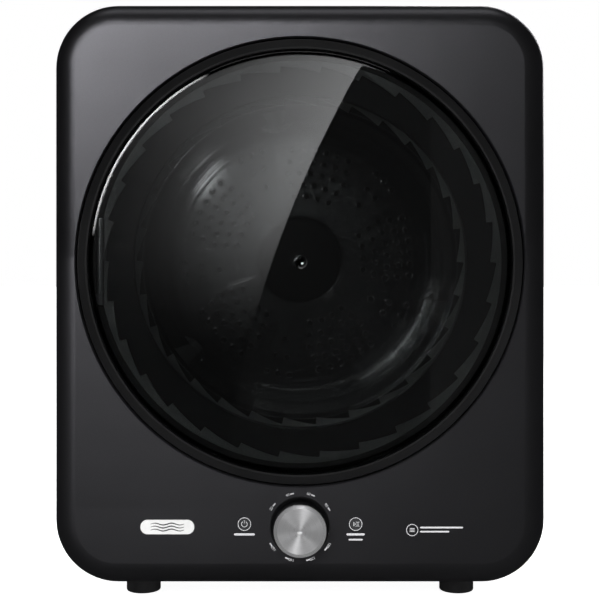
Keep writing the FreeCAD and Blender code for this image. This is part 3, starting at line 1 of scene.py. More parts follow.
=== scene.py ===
"""Looks of a compact front-loading clothes dryer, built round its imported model.

Lengths are metres and angles are degrees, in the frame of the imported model: +Z up, the front faces -Y.
"""
import bmesh
import bpy
import json
import math
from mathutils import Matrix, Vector


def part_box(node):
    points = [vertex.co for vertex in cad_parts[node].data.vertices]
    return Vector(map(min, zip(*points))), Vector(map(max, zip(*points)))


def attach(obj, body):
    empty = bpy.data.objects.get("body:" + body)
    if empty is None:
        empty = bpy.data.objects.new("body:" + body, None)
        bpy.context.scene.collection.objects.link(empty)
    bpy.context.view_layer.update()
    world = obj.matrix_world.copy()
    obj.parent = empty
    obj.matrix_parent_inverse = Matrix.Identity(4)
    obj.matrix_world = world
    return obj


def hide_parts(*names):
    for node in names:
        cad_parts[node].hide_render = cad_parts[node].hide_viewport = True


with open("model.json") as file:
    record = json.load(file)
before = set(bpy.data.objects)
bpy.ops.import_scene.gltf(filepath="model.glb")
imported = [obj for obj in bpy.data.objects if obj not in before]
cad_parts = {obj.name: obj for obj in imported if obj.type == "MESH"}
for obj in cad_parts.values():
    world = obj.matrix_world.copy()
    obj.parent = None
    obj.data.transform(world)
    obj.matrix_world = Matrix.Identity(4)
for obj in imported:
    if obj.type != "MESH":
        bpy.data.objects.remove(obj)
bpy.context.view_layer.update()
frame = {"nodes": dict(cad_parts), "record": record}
NODES = frame["nodes"]
SLOT_OF = {part["node"]: part["material_slot"] for part in frame["record"]["subparts"]}


def middle(node):
    low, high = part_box(node)
    return (low + high) / 2


def half_width(node):
    low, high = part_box(node)
    return (high.x - low.x) / 2


def front(node):
    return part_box(node)[0].y


def back(node):
    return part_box(node)[1].y


# ---- places and sizes of the model, and the parts of its shapes that a box doesn't give ----
DOOR = middle("door_window")
GLASS_R = half_width("door_window")
GLASS_SPHERE_R = 5.459
GLASS_ROLL = 0.008
GLASS_WALL = 0.004
GLASS_RISE = 0.0055
GLASS_TURN = -0.006
GLASS_FOOT = -0.0033
PANEL_FACE = front("front_panel")
REAR_FACE = back("rear_panel")
KNOB = middle("knob_cap")
WELL_R = 0.0355
WELL_DEPTH = 0.005
HUB_DISC_R = 0.064
BADGE = middle("badge_plate")
WALL_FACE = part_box("drum_hub_cap")[1].y - 0.006

# ---- the drum's rear wall: the pressed details round its holes ----
SECTORS = 5
SECTOR_START = 7.0
SECTOR_HALF = 21.0
SECTOR_INNER_R = 0.079
SECTOR_OUTER_R = 0.184
SECTOR_RISE = 0.0015
HOLE_R = 0.0036
HOLE_PITCH = 0.0181
DIMPLE_R = 0.0068
DIMPLE_RISE = 0.0017
SECTOR_LIP = 1.2
DENSE_OUTER_R = 0.1715
DENSE_ROW_PITCH = 0.01805
DENSE_ROWS = (6, 6, 6, 5, 4)
SPARSE_OUTER_R = 0.180
SPARSE_ROW_PITCH = 0.0273
SPARSE_ROWS = (3, 2, 1)
BEAD_R = 0.0016
FINE_BEAD_R = 0.0008
SECTOR_BEADS = ((0.0, BEAD_R), (0.0042, FINE_BEAD_R))
RING_RADII = (0.1885, 0.1945, 0.2235, 0.2300)
RING_SET_BACK = 0.0046
FINE_RING_RADII = (0.2005, 0.2065, 0.2125)
FINE_RING_SET_BACK = 0.0008

# ---- door: stepped mouldings behind the glass; each has its outer radius, inner radius and step ----
SAW_TEETH = 30
SAW_TOOTH_SHARE = 0.97
OUTER_SAW = (0.2405, 0.2275, 0.0075)
INNER_SAW = (0.2030, 0.1900, 0.0085)
SAW_THICK = 0.0022
OUTER_SAW_FACE = PANEL_FACE - 0.0045
INNER_SAW_FACE = PANEL_FACE + 0.0165

# ---- rear panel ----
LOUVRE_ROWS = 9
LOUVRE_PITCH = 0.016
LOUVRE_INNER = 0.057
LOUVRE_OUTER = 0.153
LOUVRE_RISE = 0.0046
REAR_BEAD_LIFT = 0.112
REAR_BEAD_HALF = 0.205
REAR_BEAD_R = 0.0026
PLATE_LOW = (0.060, 0.085)
PLATE_HIGH = (0.150, 0.140)
PLATE_CORNER_R = 0.004
PLATE_THICK = 0.0007
RIVET_INSET = 0.006

# ---- markings ----
INK = 0.00012
DIAL_PLACES = 10
DIAL_MARK_R = 0.0408
DIAL_TEXT = 0.0034
DIAL_TEXT_TURN = 3.4
DIAL_BAR = 0.0015
DIAL_BAR_TURN = -7.6
DIAL_BAR_SWEEP = 6.4
DIAL_MINUTES = 20
KEY_RING_R = 0.0083
KEY_RING_WIDTH = 0.0007
KEY_SYMBOL_R = 0.0034
START_REACH = 0.0027
CAPTION_HALVES = {"power_button": (0.0125,), "start_button": (0.0110, 0.0085)}
CAPTION_DROP = 0.0138
CAPTION_LINE = 0.0060
CAPTION_HEIGHT = 0.0026
RATING_X = 0.1346
RATING_Z = 0.0852
RATING_R = 0.0068
RATING_BARS = ((0.1440, 0.1955, 0.0872, 0.0020), (0.1440, 0.1790, 0.0824, 0.0018))
WAVE_LENGTH = 0.040
WAVE_PITCH = 0.0036
WAVE_HEIGHT = 0.0011

# ---- camera ----
CAMERA = Vector((0.0, PANEL_FACE - 1.45, 0.415))
LENS = 72.54
SHIFT_Y = -0.0749

# ---- lights: the sheets that the domed glass mirrors, given by where they show in it ----
LIGHT_BACK = 2.0
EDGE_HIGH = (0.0757, 0.6456)
EDGE_LOW = (-0.0841, 0.1914)
EDGE_BOW = 0.025
SHEET_TOP = 0.82
SHEET_LOW = 0.06
SHEET_LEFT = -0.42
KEY_GLOW = 2.8
KEY_BASE = 0.04
KEY_FADE = (0.30, 0.55)
KEY_REACH = 0.090
KEY_REACH_MORE = 0.036
KEY_WIDENS = (0.50, 0.62)
FILL_CORNER = (0.155, 0.20)
FILL_SPAN = (0.30, 0.45)
FILL_GLOW = 0.10
FILL_BEHIND = 0.1
BASE_CORNER = (-0.25, 0.15)
BASE_SPAN = (0.56, 0.52)
BASE_GLOW = 0.055
BASE_BEHIND = 0.2
STREAK_START = 116.0
STREAK_END = 173.0
STREAK_LOW = 12.0
STREAK_HIGH = 34.0
STREAK_GLOW = 20.0
STREAK_BEHIND = 0.3

# ---- lights: lamps on the paint (x, z, width, height, watts) and on the dial's cap (place, watts) ----
BODY_LIGHTS = (
    (-0.95, 1.30, 0.8, 0.8, 20.0),
    (-0.35, 1.32, 0.9, 0.45, 9.0),
    (-0.60, 0.28, 1.2, 0.7, 2.6),
)
KNOB_LIGHTS = (
    ((0.126, -1.64, 0.25), 1.3),
    ((0.44, -1.60, -0.06), 0.30),
    ((-0.31, -1.62, 0.148), 0.40),
)
KNOB_LIGHT_SIZE = 0.12


# ---- material tools ----
class Shader:
    """A Principled material with its texture nodes, in the model's own metres."""

    def __init__(self, name, roughness=0.5, metallic=0.0, **sockets):
        self.material = bpy.data.materials.new(name)
        self.material.use_nodes = True
        self.tree = self.material.node_tree
        self.surface = self.tree.nodes["Principled BSDF"]
        self.set(Roughness=roughness, Metallic=metallic)
        for socket, value in sockets.items():
            self.surface.inputs[socket.replace("_", " ")].default_value = value
        self.place = self.node("ShaderNodeTexCoord").outputs["Object"]

    def set(self, **sockets):
        for socket, value in sockets.items():
            self.surface.inputs[socket].default_value = value

    def node(self, kind, **settings):
        made = self.tree.nodes.new(kind)
        for name, value in settings.items():
            setattr(made, name, value)
        return made

    def link(self, source, target):
        self.tree.links.new(source, target)

    def stretched(self, scale, centre=(0.0, 0.0, 0.0)):
        """The place with each axis scaled, round a centre."""
        mapped = self.node("ShaderNodeMapping", vector_type="TEXTURE")
        mapped.inputs["Location"].default_value = centre
        mapped.inputs["Scale"].default_value = [1.0 / value for value in scale]
        self.link(self.place, mapped.inputs["Vector"])
        return mapped.outputs["Vector"]

    def noise(self, scale, detail=2.0, vector=None, roughness=0.5):
        made = self.node("ShaderNodeTexNoise")
        made.inputs["Scale"].default_value = scale
        made.inputs["Detail"].default_value = detail
        made.inputs["Roughness"].default_value = roughness
        self.link(vector or self.place, made.inputs["Vector"])
        return made.outputs["Fac"]

    def cells(self, scale, output="Color", feature="F1"):
        made = self.node("ShaderNodeTexVoronoi", feature=feature)
        made.inputs["Scale"].default_value = scale
        self.link(self.place, made.inputs["Vector"])
        return made.outputs[output]

    def round_axis(self, centre):
        """The distance from an axis along the depth, as a vector for textures that run round it."""
        apart = self.node("ShaderNodeVectorMath", operation="SUBTRACT")
        apart.inputs[1].default_value = centre
        self.link(self.place, apart.inputs[0])
        flat = self.node("ShaderNodeVectorMath", operation="MULTIPLY")
        flat.inputs[1].default_value = (1.0, 0.0, 1.0)
        self.link(apart.outputs[0], flat.inputs[0])
        length = self.node("ShaderNodeVectorMath", operation="LENGTH")
        self.link(flat.outputs[0], length.inputs[0])
        split = self.node("ShaderNodeSeparateXYZ")
        self.link(self.place, split.inputs[0])
        joined = self.node("ShaderNodeCombineXYZ")
        self.link(length.outputs["Value"], joined.inputs["X"])
        self.link(split.outputs["Y"], joined.inputs["Y"])
        return joined.outputs[0]

    def ramp(self, factor, stops):
        """Colours along a factor; stops are (position, (r, g, b))."""
        made = self.node("ShaderNodeValToRGB")
        elements = made.color_ramp.elements
        while len(elements) < len(stops):
            elements.new(0.5)
        for element, (position, colour) in zip(elements, stops):
            element.position = position
            element.color = (*colour, 1.0)
        self.link(factor, made.inputs["Fac"])
        return made.outputs["Color"]

    def colour(self, factor, stops):
        self.link(self.ramp(factor, stops), self.surface.inputs["Base Color"])

    def rough(self, factor, low, high):
        span = self.node("ShaderNodeMapRange")
        span.inputs["To Min"].default_value = low
        span.inputs["To Max"].default_value = high
        self.link(factor, span.inputs["Value"])
        self.link(span.outputs["Result"], self.surface.inputs["Roughness"])

    def bump(self, height, distance, strength=1.0):
        made = self.node("ShaderNodeBump")
        made.inputs["Strength"].default_value = strength
        made.inputs["Distance"].default_value = distance
        self.link(height, made.inputs["Height"])
        normals = self.surface.inputs["Normal"]
        if normals.is_linked:
            self.link(normals.links[0].from_socket, made.inputs["Normal"])
        self.link(made.outputs["Normal"], normals)


def tone(colour, factor):
    return tuple(min(1.0, value * factor) for value in colour)


def patchy(shader, colour, spread=0.12, scale=9.0, detail=3.0):
    """Slow changes of tone, a little either side of one colour."""
    factor = shader.noise(scale, detail)
    shader.colour(factor, [(0.3, tone(colour, 1 - spread)), (0.7, tone(colour, 1 + spread))])


# ---- materials ----
def satin_paint(name):
    """Metallic graphite: fine flake, a trace of orange peel and slow changes of tone."""
    made = Shader(name, metallic=0.98, Specular_IOR_Level=0.4)
    flake = made.cells(2600.0)
    slow = made.noise(5.0, 2.0)
    mixed = made.node("ShaderNodeMath", operation="MULTIPLY_ADD")
    mixed.inputs[1].default_value = 0.35
    made.link(flake, mixed.inputs[0])
    made.link(slow, mixed.inputs[2])
    made.colour(mixed.outputs[0], [(0.35, (0.195, 0.193, 0.208)), (0.95, (0.250, 0.247, 0.268))])
    made.rough(made.noise(420.0, 1.0), 0.36, 0.42)
    made.bump(made.noise(300.0, 2.0), 0.00006, 0.35)
    made.bump(made.noise(2200.0, 1.0), 0.00002, 0.5)
    return made.material


def fine_matt(name, colour, low, high, grain=900.0, depth=0.00006, specular=0.5):
    """Moulded plastic or painted trim with a spark-eroded grain."""
    made = Shader(name, Specular_IOR_Level=specular)
    patchy(made, colour, 0.14, 14.0)
    made.rough(made.noise(60.0, 3.0), low, high)
    made.bump(made.noise(grain, 2.0), depth, 0.6)
    return made.material


def rubber(name, colour, roughness):
    """Rubber with moulding lines and a dry bloom."""
    made = Shader(name, Specular_IOR_Level=0.35)
    patchy(made, colour, 0.3, 45.0, 4.0)
    made.rough(made.noise(130.0, 3.0), roughness - 0.08, roughness + 0.08)
    made.bump(made.noise(1.0, 2.0, made.stretched((160.0, 160.0, 900.0))), 0.00012, 0.5)
    made.bump(made.noise(1500.0, 1.0), 0.00004, 0.6)
    return made.material


def glass(name, tint, spread, ior):
    """Clear or tinted glass with a trace of haze and of roller wave."""
    made = Shader(name, roughness=0.0, Transmission_Weight=1.0, IOR=ior)
    patchy(made, tint, spread, 4.0, 1.0)
    made.rough(made.noise(22.0, 2.0), 0.0, 0.008)
    made.bump(made.noise(6.0, 0.0), 0.00002, 0.1)
    return made.material


def galvanised(name):
    """Hot-dip zinc: spangled grains of slightly different grey."""
    made = Shader(name, metallic=0.92)
    spangle = [(0.0, (0.40, 0.41, 0.42)), (0.5, (0.52, 0.53, 0.54)), (1.0, (0.63, 0.64, 0.65))]
    made.colour(made.cells(110.0), spangle)
    made.rough(made.noise(80.0, 3.0), 0.34, 0.52)
    made.bump(made.noise(420.0, 2.0), 0.00005, 0.5)
    return made.material


def brushed(name, colour, low, high, axis=(1.0, 0.05, 1.0), metallic=1.0):
    """Ground metal with scratches along one axis."""
    made = Shader(name, metallic=metallic)
    lines = made.noise(1.0, 3.0, made.stretched([value * 1600.0 for value in axis]))
    made.colour(lines, [(0.25, tone(colour, 0.78)), (0.75, tone(colour, 1.14))])
    made.rough(lines, low, high)
    made.bump(lines, 0.00003, 0.5)
    return made.material


def turned_metal(name, colour, low, high, centre, lines_across, sheen):
    """Metal worked round an axis along the depth, with fine rings that spread its highlights."""
    made = Shader(name, metallic=0.80, Anisotropic=sheen, Anisotropic_Rotation=0.25)
    direction = made.node("ShaderNodeTangent", direction_type="RADIAL", axis="Y")
    made.link(direction.outputs["Tangent"], made.surface.inputs["Tangent"])
    rings = made.noise(lines_across, 3.0, made.round_axis(centre), 0.7)
    made.colour(rings, [(0.25, tone(colour, 0.80)), (0.75, tone(colour, 1.12))])
    made.rough(rings, low, high)
    made.bump(rings, 0.00002, 0.6)
    return made.material


def drum_metal(name):
    """Rolled stainless sheet: marks round the drum, rubbed lighter where the load slides."""
    centre = (DOOR.x, 0.0, DOOR.z)
    made = Shader(name, metallic=1.0)
    rings = made.noise(900.0, 3.0, made.round_axis(centre), 0.65)
    rubbed = made.noise(26.0, 4.0)
    mixed = made.node("ShaderNodeMath", operation="MULTIPLY_ADD")
    mixed.inputs[1].default_value = 0.5
    made.link(rubbed, mixed.inputs[0])
    made.link(rings, mixed.inputs[2])
    made.colour(mixed.outputs[0], [(0.45, (0.28, 0.28, 0.29)), (1.05, (0.46, 0.46, 0.47))])
    made.rough(mixed.outputs[0], 0.14, 0.28)
    made.bump(rings, 0.00004, 0.5)
    return made.material


def felt_cloth(name):
    """Pressed wool: matted fibres and flecks."""
    made = Shader(name, roughness=0.95, Sheen_Weight=0.4, Sheen_Roughness=0.6)
    fibres = made.noise(1.0, 5.0, made.stretched((900.0, 500.0, 900.0)), 0.8)
    made.colour(fibres, [(0.3, (0.20, 0.19, 0.17)), (0.7, (0.42, 0.40, 0.36))])
    made.bump(fibres, 0.0006, 0.8)
    return made.material


def solder_mask(name):
    """Green lacquer with copper tracks showing lighter under it."""
    made = Shader(name, roughness=0.3)
    tracks = made.node("ShaderNodeTexBrick")
    tracks.inputs["Scale"].default_value = 190.0
    tracks.inputs["Color1"].default_value = (0.010, 0.090, 0.035, 1.0)
    tracks.inputs["Color2"].default_value = (0.014, 0.110, 0.045, 1.0)
    tracks.inputs["Mortar"].default_value = (0.045, 0.230, 0.100, 1.0)
    made.link(made.place, tracks.inputs["Vector"])
    made.link(tracks.outputs["Color"], made.surface.inputs["Base Color"])
    made.bump(tracks.outputs["Fac"], 0.00004, 0.5)
    return made.material


def cast_paint(name):
    """Thick black paint over a rough casting."""
    made = Shader(name, metallic=0.2)
    patchy(made, (0.030, 0.030, 0.033), 0.3, 60.0)
    made.rough(made.noise(90.0, 3.0), 0.38, 0.60)
    made.bump(made.noise(520.0, 4.0), 0.00022, 0.7)
    return made.material


def heated_steel(name):
    """Steel sheath with straw and blue temper bands."""
    made = Shader(name, metallic=1.0)
    bands = made.noise(28.0, 3.0)
    made.colour(bands, [(0.25, (0.30, 0.24, 0.17)), (0.5, (0.27, 0.26, 0.27)), (0.75, (0.16, 0.18, 0.26))])
    made.rough(made.noise(300.0, 2.0), 0.35, 0.6)
    made.bump(made.noise(900.0, 2.0), 0.00005, 0.5)
    return made.material


def gloss_plastic(name, colour, low, high):
    """Polished plastic with a trace of flow marks."""
    made = Shader(name, Coat_Weight=0.2, Coat_Roughness=0.12)
    patchy(made, colour, 0.04, 30.0)
    made.rough(made.noise(45.0, 3.0), low, high)
    made.bump(made.noise(120.0, 2.0), 0.00003, 0.4)
    return made.material


def make_finishes():
    """A material for each slot of the record."""
    knob_centre = (KNOB.x, 0.0, KNOB.z)
    cap_tone = (0.74, 0.74, 0.75)
    return {
        "graphite_panel": satin_paint("graphite_panel"),
        "graphite_steel": satin_paint("graphite_steel"),
        "black_trim": fine_matt("black_trim", (0.008, 0.008, 0.0085), 0.38, 0.50),
        "door_glass": glass("door_glass", (0.32, 0.33, 0.33), 0.03, 1.52),
        "bowl_glass": glass("bowl_glass", (0.72, 0.74, 0.73), 0.02, 1.50),
        "black_plastic": fine_matt("black_plastic", (0.018, 0.018, 0.019), 0.42, 0.60, 700.0, 0.0001),
        "seal_rubber": rubber("seal_rubber", (0.020, 0.020, 0.021), 0.66),
        "foot_rubber": rubber("foot_rubber", (0.010, 0.010, 0.0105), 0.60),
        "galvanised": galvanised("galvanised"),
        "bright_steel": brushed("bright_steel", (0.56, 0.56, 0.57), 0.22, 0.42),
        "drum_steel": drum_metal("drum_steel"),
        "lifter_plastic": fine_matt("lifter_plastic", (0.26, 0.27, 0.265), 0.30, 0.45, 500.0),
        "spun_aluminium": turned_metal("spun_aluminium", cap_tone, 0.20, 0.40, knob_centre, 2600.0, 0.85),
        "key_plastic": fine_matt("key_plastic", (0.045, 0.045, 0.049), 0.36, 0.46),
        "badge_white": gloss_plastic("badge_white", (0.93, 0.93, 0.92), 0.22, 0.32),
        "felt": felt_cloth("felt"),
        "board_green": solder_mask("board_green"),
        "bronze": brushed("bronze", (0.58, 0.40, 0.19), 0.30, 0.50),
        "roller_rubber": rubber("roller_rubber", (0.055, 0.055, 0.056), 0.62),
        "motor_steel": cast_paint("motor_steel"),
        "pulley_white": fine_matt("pulley_white", (0.66, 0.66, 0.62), 0.35, 0.50, 600.0),
        "element_steel": heated_steel("element_steel"),
        "capacitor_shell": brushed("capacitor_shell", (0.60, 0.60, 0.62), 0.22, 0.36, (1.0, 1.0, 0.05)),
    }


FINISHES = make_finishes()


def print_ink():
    """Screen-printed pale ink, a little uneven at its grain."""
    made = Shader("print_ink", roughness=0.5)
    grain = made.noise(2400.0, 2.0)
    made.colour(grain, [(0.2, (0.62, 0.62, 0.64)), (0.6, (0.82, 0.82, 0.84))])
    made.rough(grain, 0.45, 0.65)
    made.bump(grain, 0.00001, 0.4)
    return made.material


def dark_ink():
    """Screen-printed near-black ink, uneven at the same grain."""
    made = Shader("dark_ink", roughness=0.5)
    grain = made.noise(2400.0, 2.0)
    made.colour(grain, [(0.2, (0.012, 0.012, 0.014)), (0.7, (0.026, 0.026, 0.030))])
    made.rough(grain, 0.35, 0.55)
    made.bump(grain, 0.00001, 0.4)
    return made.material


INKS = {"pale": print_ink(), "dark": dark_ink()}


def dress_cad_nodes():
    """Give each node of the model the finish of its slot."""
    for name, node in NODES.items():
        node.data.materials.clear()
        node.data.materials.append(FINISHES[SLOT_OF[name]])


# ---- mesh tools ----
def add_piece(name, mesh_points, faces, body, finish, smooth=True):
    """A mesh piece in the model's frame, that rides on a body and takes a slot's finish."""
    mesh = bpy.data.meshes.new(name)
    mesh.from_pydata([tuple(point) for point in mesh_points], [], faces)
    mesh.validate()
    mesh.materials.append(finish)
    tidy = bmesh.new()
    tidy.from_mesh(mesh)
    bmesh.ops.recalc_face_normals(tidy, faces=tidy.faces)
    tidy.to_mesh(mesh)
    tidy.free()
    for polygon in mesh.polygons:
        polygon.use_smooth = smooth
    made = bpy.data.objects.new(name, mesh)
    bpy.context.scene.collection.objects.link(made)
    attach(made, body)
    return made


class Parts:
    """Points and faces gathered for one mesh."""

    def __init__(self):
        self.points = []
        self.faces = []

    def add(self, points, faces):
        base = len(self.points)
        self.points += points
        self.faces += [tuple(base + index for index in face) for face in faces]

    def loft(self, sections, closed_along=True, closed_round=True):
        """Skin between equal rows of points; an open loft gets a cap at each end."""
        rows, width = len(sections), len(sections[0])
        points = [point for section in sections for point in section]
        faces = []
        for row in range(rows if closed_along else rows - 1):
            after = (row + 1) % rows
            for column in range(width if closed_round else width - 1):
                beside = (column + 1) % width
                faces.append((row * width + column, row * width + beside,
                              after * width + beside, after * width + column))
        if not closed_along:
            faces.append(tuple(range(width)))
            faces.append(tuple((rows - 1) * width + column for column in range(width)))
        self.add(points, faces)

    def turned(self, centre, profile, count=96):
        """A closed profile of (radius, depth) turned round an axis along the depth."""
        sections = []
        for step in range(count):
            degrees = 360.0 * step / count
            sections.append([(px, depth, pz) for radius, depth in profile
                             for px, pz in [on_circle(centre, radius, degrees)]])
        self.loft(sections)

    def slab(self, outline, near, far):
        """A closed outline of (x, z) drawn out along the depth."""
        count = len(outline)
        points = [(x, near, z) for x, z in outline] + [(x, far, z) for x, z in outline]
        faces = [tuple(range(count)), tuple(range(2 * count - 1, count - 1, -1))]
        faces += [(index, (index + 1) % count, count + (index + 1) % count, count + index)
                  for index in range(count)]
        self.add(points, faces)

    def band(self, inner, outer, near, far):
        """A closed ring between two outlines of equal counts of (x, z)."""
        sections = []
        for (x0, z0), (x1, z1) in zip(inner, outer):
            sections.append([(x0, near, z0), (x1, near, z1), (x1, far, z1), (x0, far, z0)])
        self.loft(sections)

    def piece(self, name, body, finish, smooth=False):
        return add_piece(name, self.points, self.faces, body, finish, smooth)


def on_circle(centre, radius, degrees):
    angle = math.radians(degrees)
    return centre.x + radius * math.cos(angle), centre.z + radius * math.sin(angle)


def circle(centre, radius, count, start=0.0, sweep=360.0):
    steps = count if sweep == 360.0 else count - 1
    return [on_circle(centre, radius, start + sweep * index / steps) for index in range(count)]


def tube_along(parts, path, radius, sides=8, closed=True):
    """A round bar of one radius along a path of points in one plane across the depth."""
    sections = []
    count = len(path)
    for index, (x, y, z) in enumerate(path):
        before = path[index - 1] if closed or index else path[index]
        after = path[(index + 1) % count] if closed or index < count - 1 else path[index]
        along = Vector((after[0] - before[0], 0.0, after[2] - before[2])).normalized()
        across = Vector((along.z, 0.0, -along.x))
        section = []
        for side in range(sides):
            angle = 2 * math.pi * side / sides
            offset = across * (radius * math.cos(angle)) + Vector((0.0, radius * math.sin(angle), 0.0))
            section.append(Vector((x, y, z)) + offset)
        sections.append(section)
    parts.loft(sections, closed_along=closed)


# ---- pieces: drum ----
def hole_places():
    """(x, z, depth) of each hole in the drum's rear wall."""
    places = []
    for sector in range(SECTORS):
        dense = SECTOR_START + 360.0 * sector / SECTORS
        groups = ((DENSE_ROWS, DENSE_OUTER_R, DENSE_ROW_PITCH, dense, WALL_FACE - SECTOR_RISE),
                  (SPARSE_ROWS, SPARSE_OUTER_R, SPARSE_ROW_PITCH, dense + 180.0 / SECTORS, WALL_FACE))
        for rows, outer, pitch, heading, face in groups:
            for row, count in enumerate(rows):
                radius = outer - row * pitch
                step = math.degrees(HOLE_PITCH / radius)
                for index in range(count):
                    x, z = on_circle(DOOR, radius, heading + (index - (count - 1) / 2) * step)
                    places.append((x, z, face))
    return places


def drum_dimples():
    """The rounded collar pressed round each hole."""
    parts = Parts()
    profile = []
    for step in range(7):
        share = step / 6
        radius = HOLE_R + 0.0001 + (DIMPLE_R - HOLE_R) * share
        profile.append((radius, DIMPLE_RISE * math.sin(math.pi * (0.25 + 0.75 * share))))
    profile += [(DIMPLE_R, -0.0002), (HOLE_R + 0.0001, -0.0002)]
    for x, z, face in hole_places():
        parts.turned(Vector((x, 0.0, z)), [(radius, face - rise) for radius, rise in profile], 20)
    return parts.piece("drum_dimples", "drum", FINISHES["drum_steel"], True)


def sector_outline(heading, grow):
    """The line round a raised sector, with round corners."""
    corners = []
    for radius, start, stop in ((SECTOR_INNER_R - 0.004 - grow, -1, 1), (SECTOR_OUTER_R + 0.001, 1, -1)):
        for step in range(13):
            share = step / 12
            along = start + (stop - start) * share
            half = SECTOR_HALF + SECTOR_LIP + math.degrees(grow / radius)
            corners.append(on_circle(DOOR, radius, heading + along * half))
    for _ in range(2):
        corners = cut_corners(corners)
    return corners


def cut_corners(outline):
    """Chaikin's rule: each corner becomes two points."""
    softer = []
    for index, (x0, z0) in enumerate(outline):
        x1, z1 = outline[(index + 1) % len(outline)]
        softer.append((0.75 * x0 + 0.25 * x1, 0.75 * z0 + 0.25 * z1))
        softer.append((0.25 * x0 + 0.75 * x1, 0.25 * z0 + 0.75 * z1))
    return softer


def drum_beads():
    """The raised beads round the sectors and round the wall."""
    parts = Parts()
    for sector in range(SECTORS):
        heading = SECTOR_START + 360.0 * sector / SECTORS
        for grow, thick in SECTOR_BEADS:
            outline = sector_outline(heading, grow)
            tube_along(parts, [(x, WALL_FACE + 0.0002, z) for x, z in outline], thick)
    rings = [(radius, RING_SET_BACK, BEAD_R) for radius in RING_RADII]
    rings += [(radius, FINE_RING_SET_BACK, FINE_BEAD_R) for radius in FINE_RING_RADII]
    for radius, depth, thick in rings:
        tube_along(parts, [(x, WALL_FACE + depth, z) for x, z in circle(DOOR, radius, 160)], thick)
    return parts.piece("drum_beads", "drum", FINISHES["drum_steel"], True)


# ---- pieces: door ----
def dome_profile(inset, count=28):
    """One side of the glass, from its crown to its foot."""
    flat_r = GLASS_R - GLASS_ROLL
    roll = GLASS_ROLL - inset
    turn = PANEL_FACE + GLASS_TURN
    edge = turn - roll + math.sqrt(GLASS_SPHERE_R ** 2 - flat_r ** 2)
    crown_r = 0.0002
    profile = []
    for step in range(count):
        radius = crown_r + (flat_r - crown_r) * step / count
        profile.append((radius, edge - math.sqrt(GLASS_SPHERE_R ** 2 - radius ** 2)))
    for step in range(15):
        lean = math.radians(90.0 * step / 14)
        profile.append((flat_r + roll * math.sin(lean), turn - roll * math.cos(lean)))
    foot = PANEL_FACE + GLASS_FOOT
    profile += [(flat_r + roll, foot - 0.0003), (flat_r + roll, foot)]
    return profile


def door_glass():
    """The domed glass with fine facets, so that what it mirrors runs smooth."""
    parts = Parts()
    parts.turned(DOOR, dome_profile(0.0) + dome_profile(GLASS_WALL)[::-1], 240)
    made = parts.piece("door_glass", "door", FINISHES["door_glass"], True)
    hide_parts("door_window")
    return made


def saw_ring(name, sizes, near):
    """A ring whose inner edge rises in steps, one behind another."""
    outer_r, inner_r, tooth = sizes
    inner, outer = [], []
    per_tooth = 6
    for index in range(SAW_TEETH):
        for step in range(per_tooth):
            share = step / (per_tooth - 1)
            degrees = 360.0 * (index + share * SAW_TOOTH_SHARE) / SAW_TEETH
            inner.append(on_circle(DOOR, inner_r + tooth * share, degrees))
            outer.append(on_circle(DOOR, outer_r, degrees))
    parts = Parts()
    parts.band(inner, outer, near, near + SAW_THICK)
    return parts.piece(name, "door", FINISHES["lifter_plastic"])


# ---- pieces: hub, dial well and rear ----
def hub_disc():
    """The plain satin disc over the drum's axle."""
    face = WALL_FACE + 0.0012
    parts = Parts()
    parts.turned(DOOR, [
        (0.0, face - 0.0022), (0.020, face - 0.0020), (0.040, face - 0.0012), (0.056, face),
        (HUB_DISC_R - 0.0015, face + 0.0010), (HUB_DISC_R, face + 0.0026), (HUB_DISC_R, face + 0.0046),
        (0.0, face + 0.0046)])
    slot = SLOT_OF["drum_hub_cap"]
    made = parts.piece("hub_disc", "drum", FINISHES[slot], True)
    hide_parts("drum_hub_cap")


def well_liner():
    """A black cup that lines the well round the knob."""
    parts = Parts()
    lip, floor = PANEL_FACE - 0.0003, PANEL_FACE + WELL_DEPTH
    parts.turned(KNOB, [
        (WELL_R - 0.0004, lip + 0.0003), (WELL_R - 0.0002, lip), (WELL_R + 0.0009, lip),
        (WELL_R + 0.0010, PANEL_FACE - 0.00002), (WELL_R - 0.0001, PANEL_FACE - 0.00002),
        (WELL_R - 0.0001, floor - 0.0001), (0.006, floor - 0.0001), (0.006, floor - 0.0006),
        (WELL_R - 0.0008, floor - 0.0006)])
    return parts.piece("well_liner", "cabinet", FINISHES["black_plastic"], True)


def rear_louvres():
    """Pressed hoods over the intake slots, with a long bead above and below them."""
    parts = Parts()
    for row in range(LOUVRE_ROWS):
        z = DOOR.z + (row - (LOUVRE_ROWS - 1) / 2) * LOUVRE_PITCH
        for side in (-1, 1):
            sections = []
            for step in range(25):
                share = step / 24
                x = side * (LOUVRE_INNER + (LOUVRE_OUTER - LOUVRE_INNER) * share)
                rise = LOUVRE_RISE * min(1.0, math.sin(math.pi * share) * 3.0) ** 0.5 + 0.0001
                hood = [(0.0, 0.0052), (rise * 0.55, 0.0044), (rise * 0.9, 0.0020), (rise, -0.0016),
                        (rise - 0.0006, -0.0018), (rise * 0.8 - 0.0005, 0.0014), (0.0, 0.0040)]
                sections.append([(x, REAR_FACE + out, z + up) for out, up in hood])
            parts.loft(sections, closed_along=False)
    for z in (DOOR.z + REAR_BEAD_LIFT, DOOR.z - REAR_BEAD_LIFT):
        path = [(REAR_BEAD_HALF * (step / 20 - 1), REAR_FACE + 0.0002, z) for step in range(41)]
        tube_along(parts, path, REAR_BEAD_R, 10, closed=False)
    return parts.piece("rear_louvres", "cabinet", FINISHES["galvanised"], True)


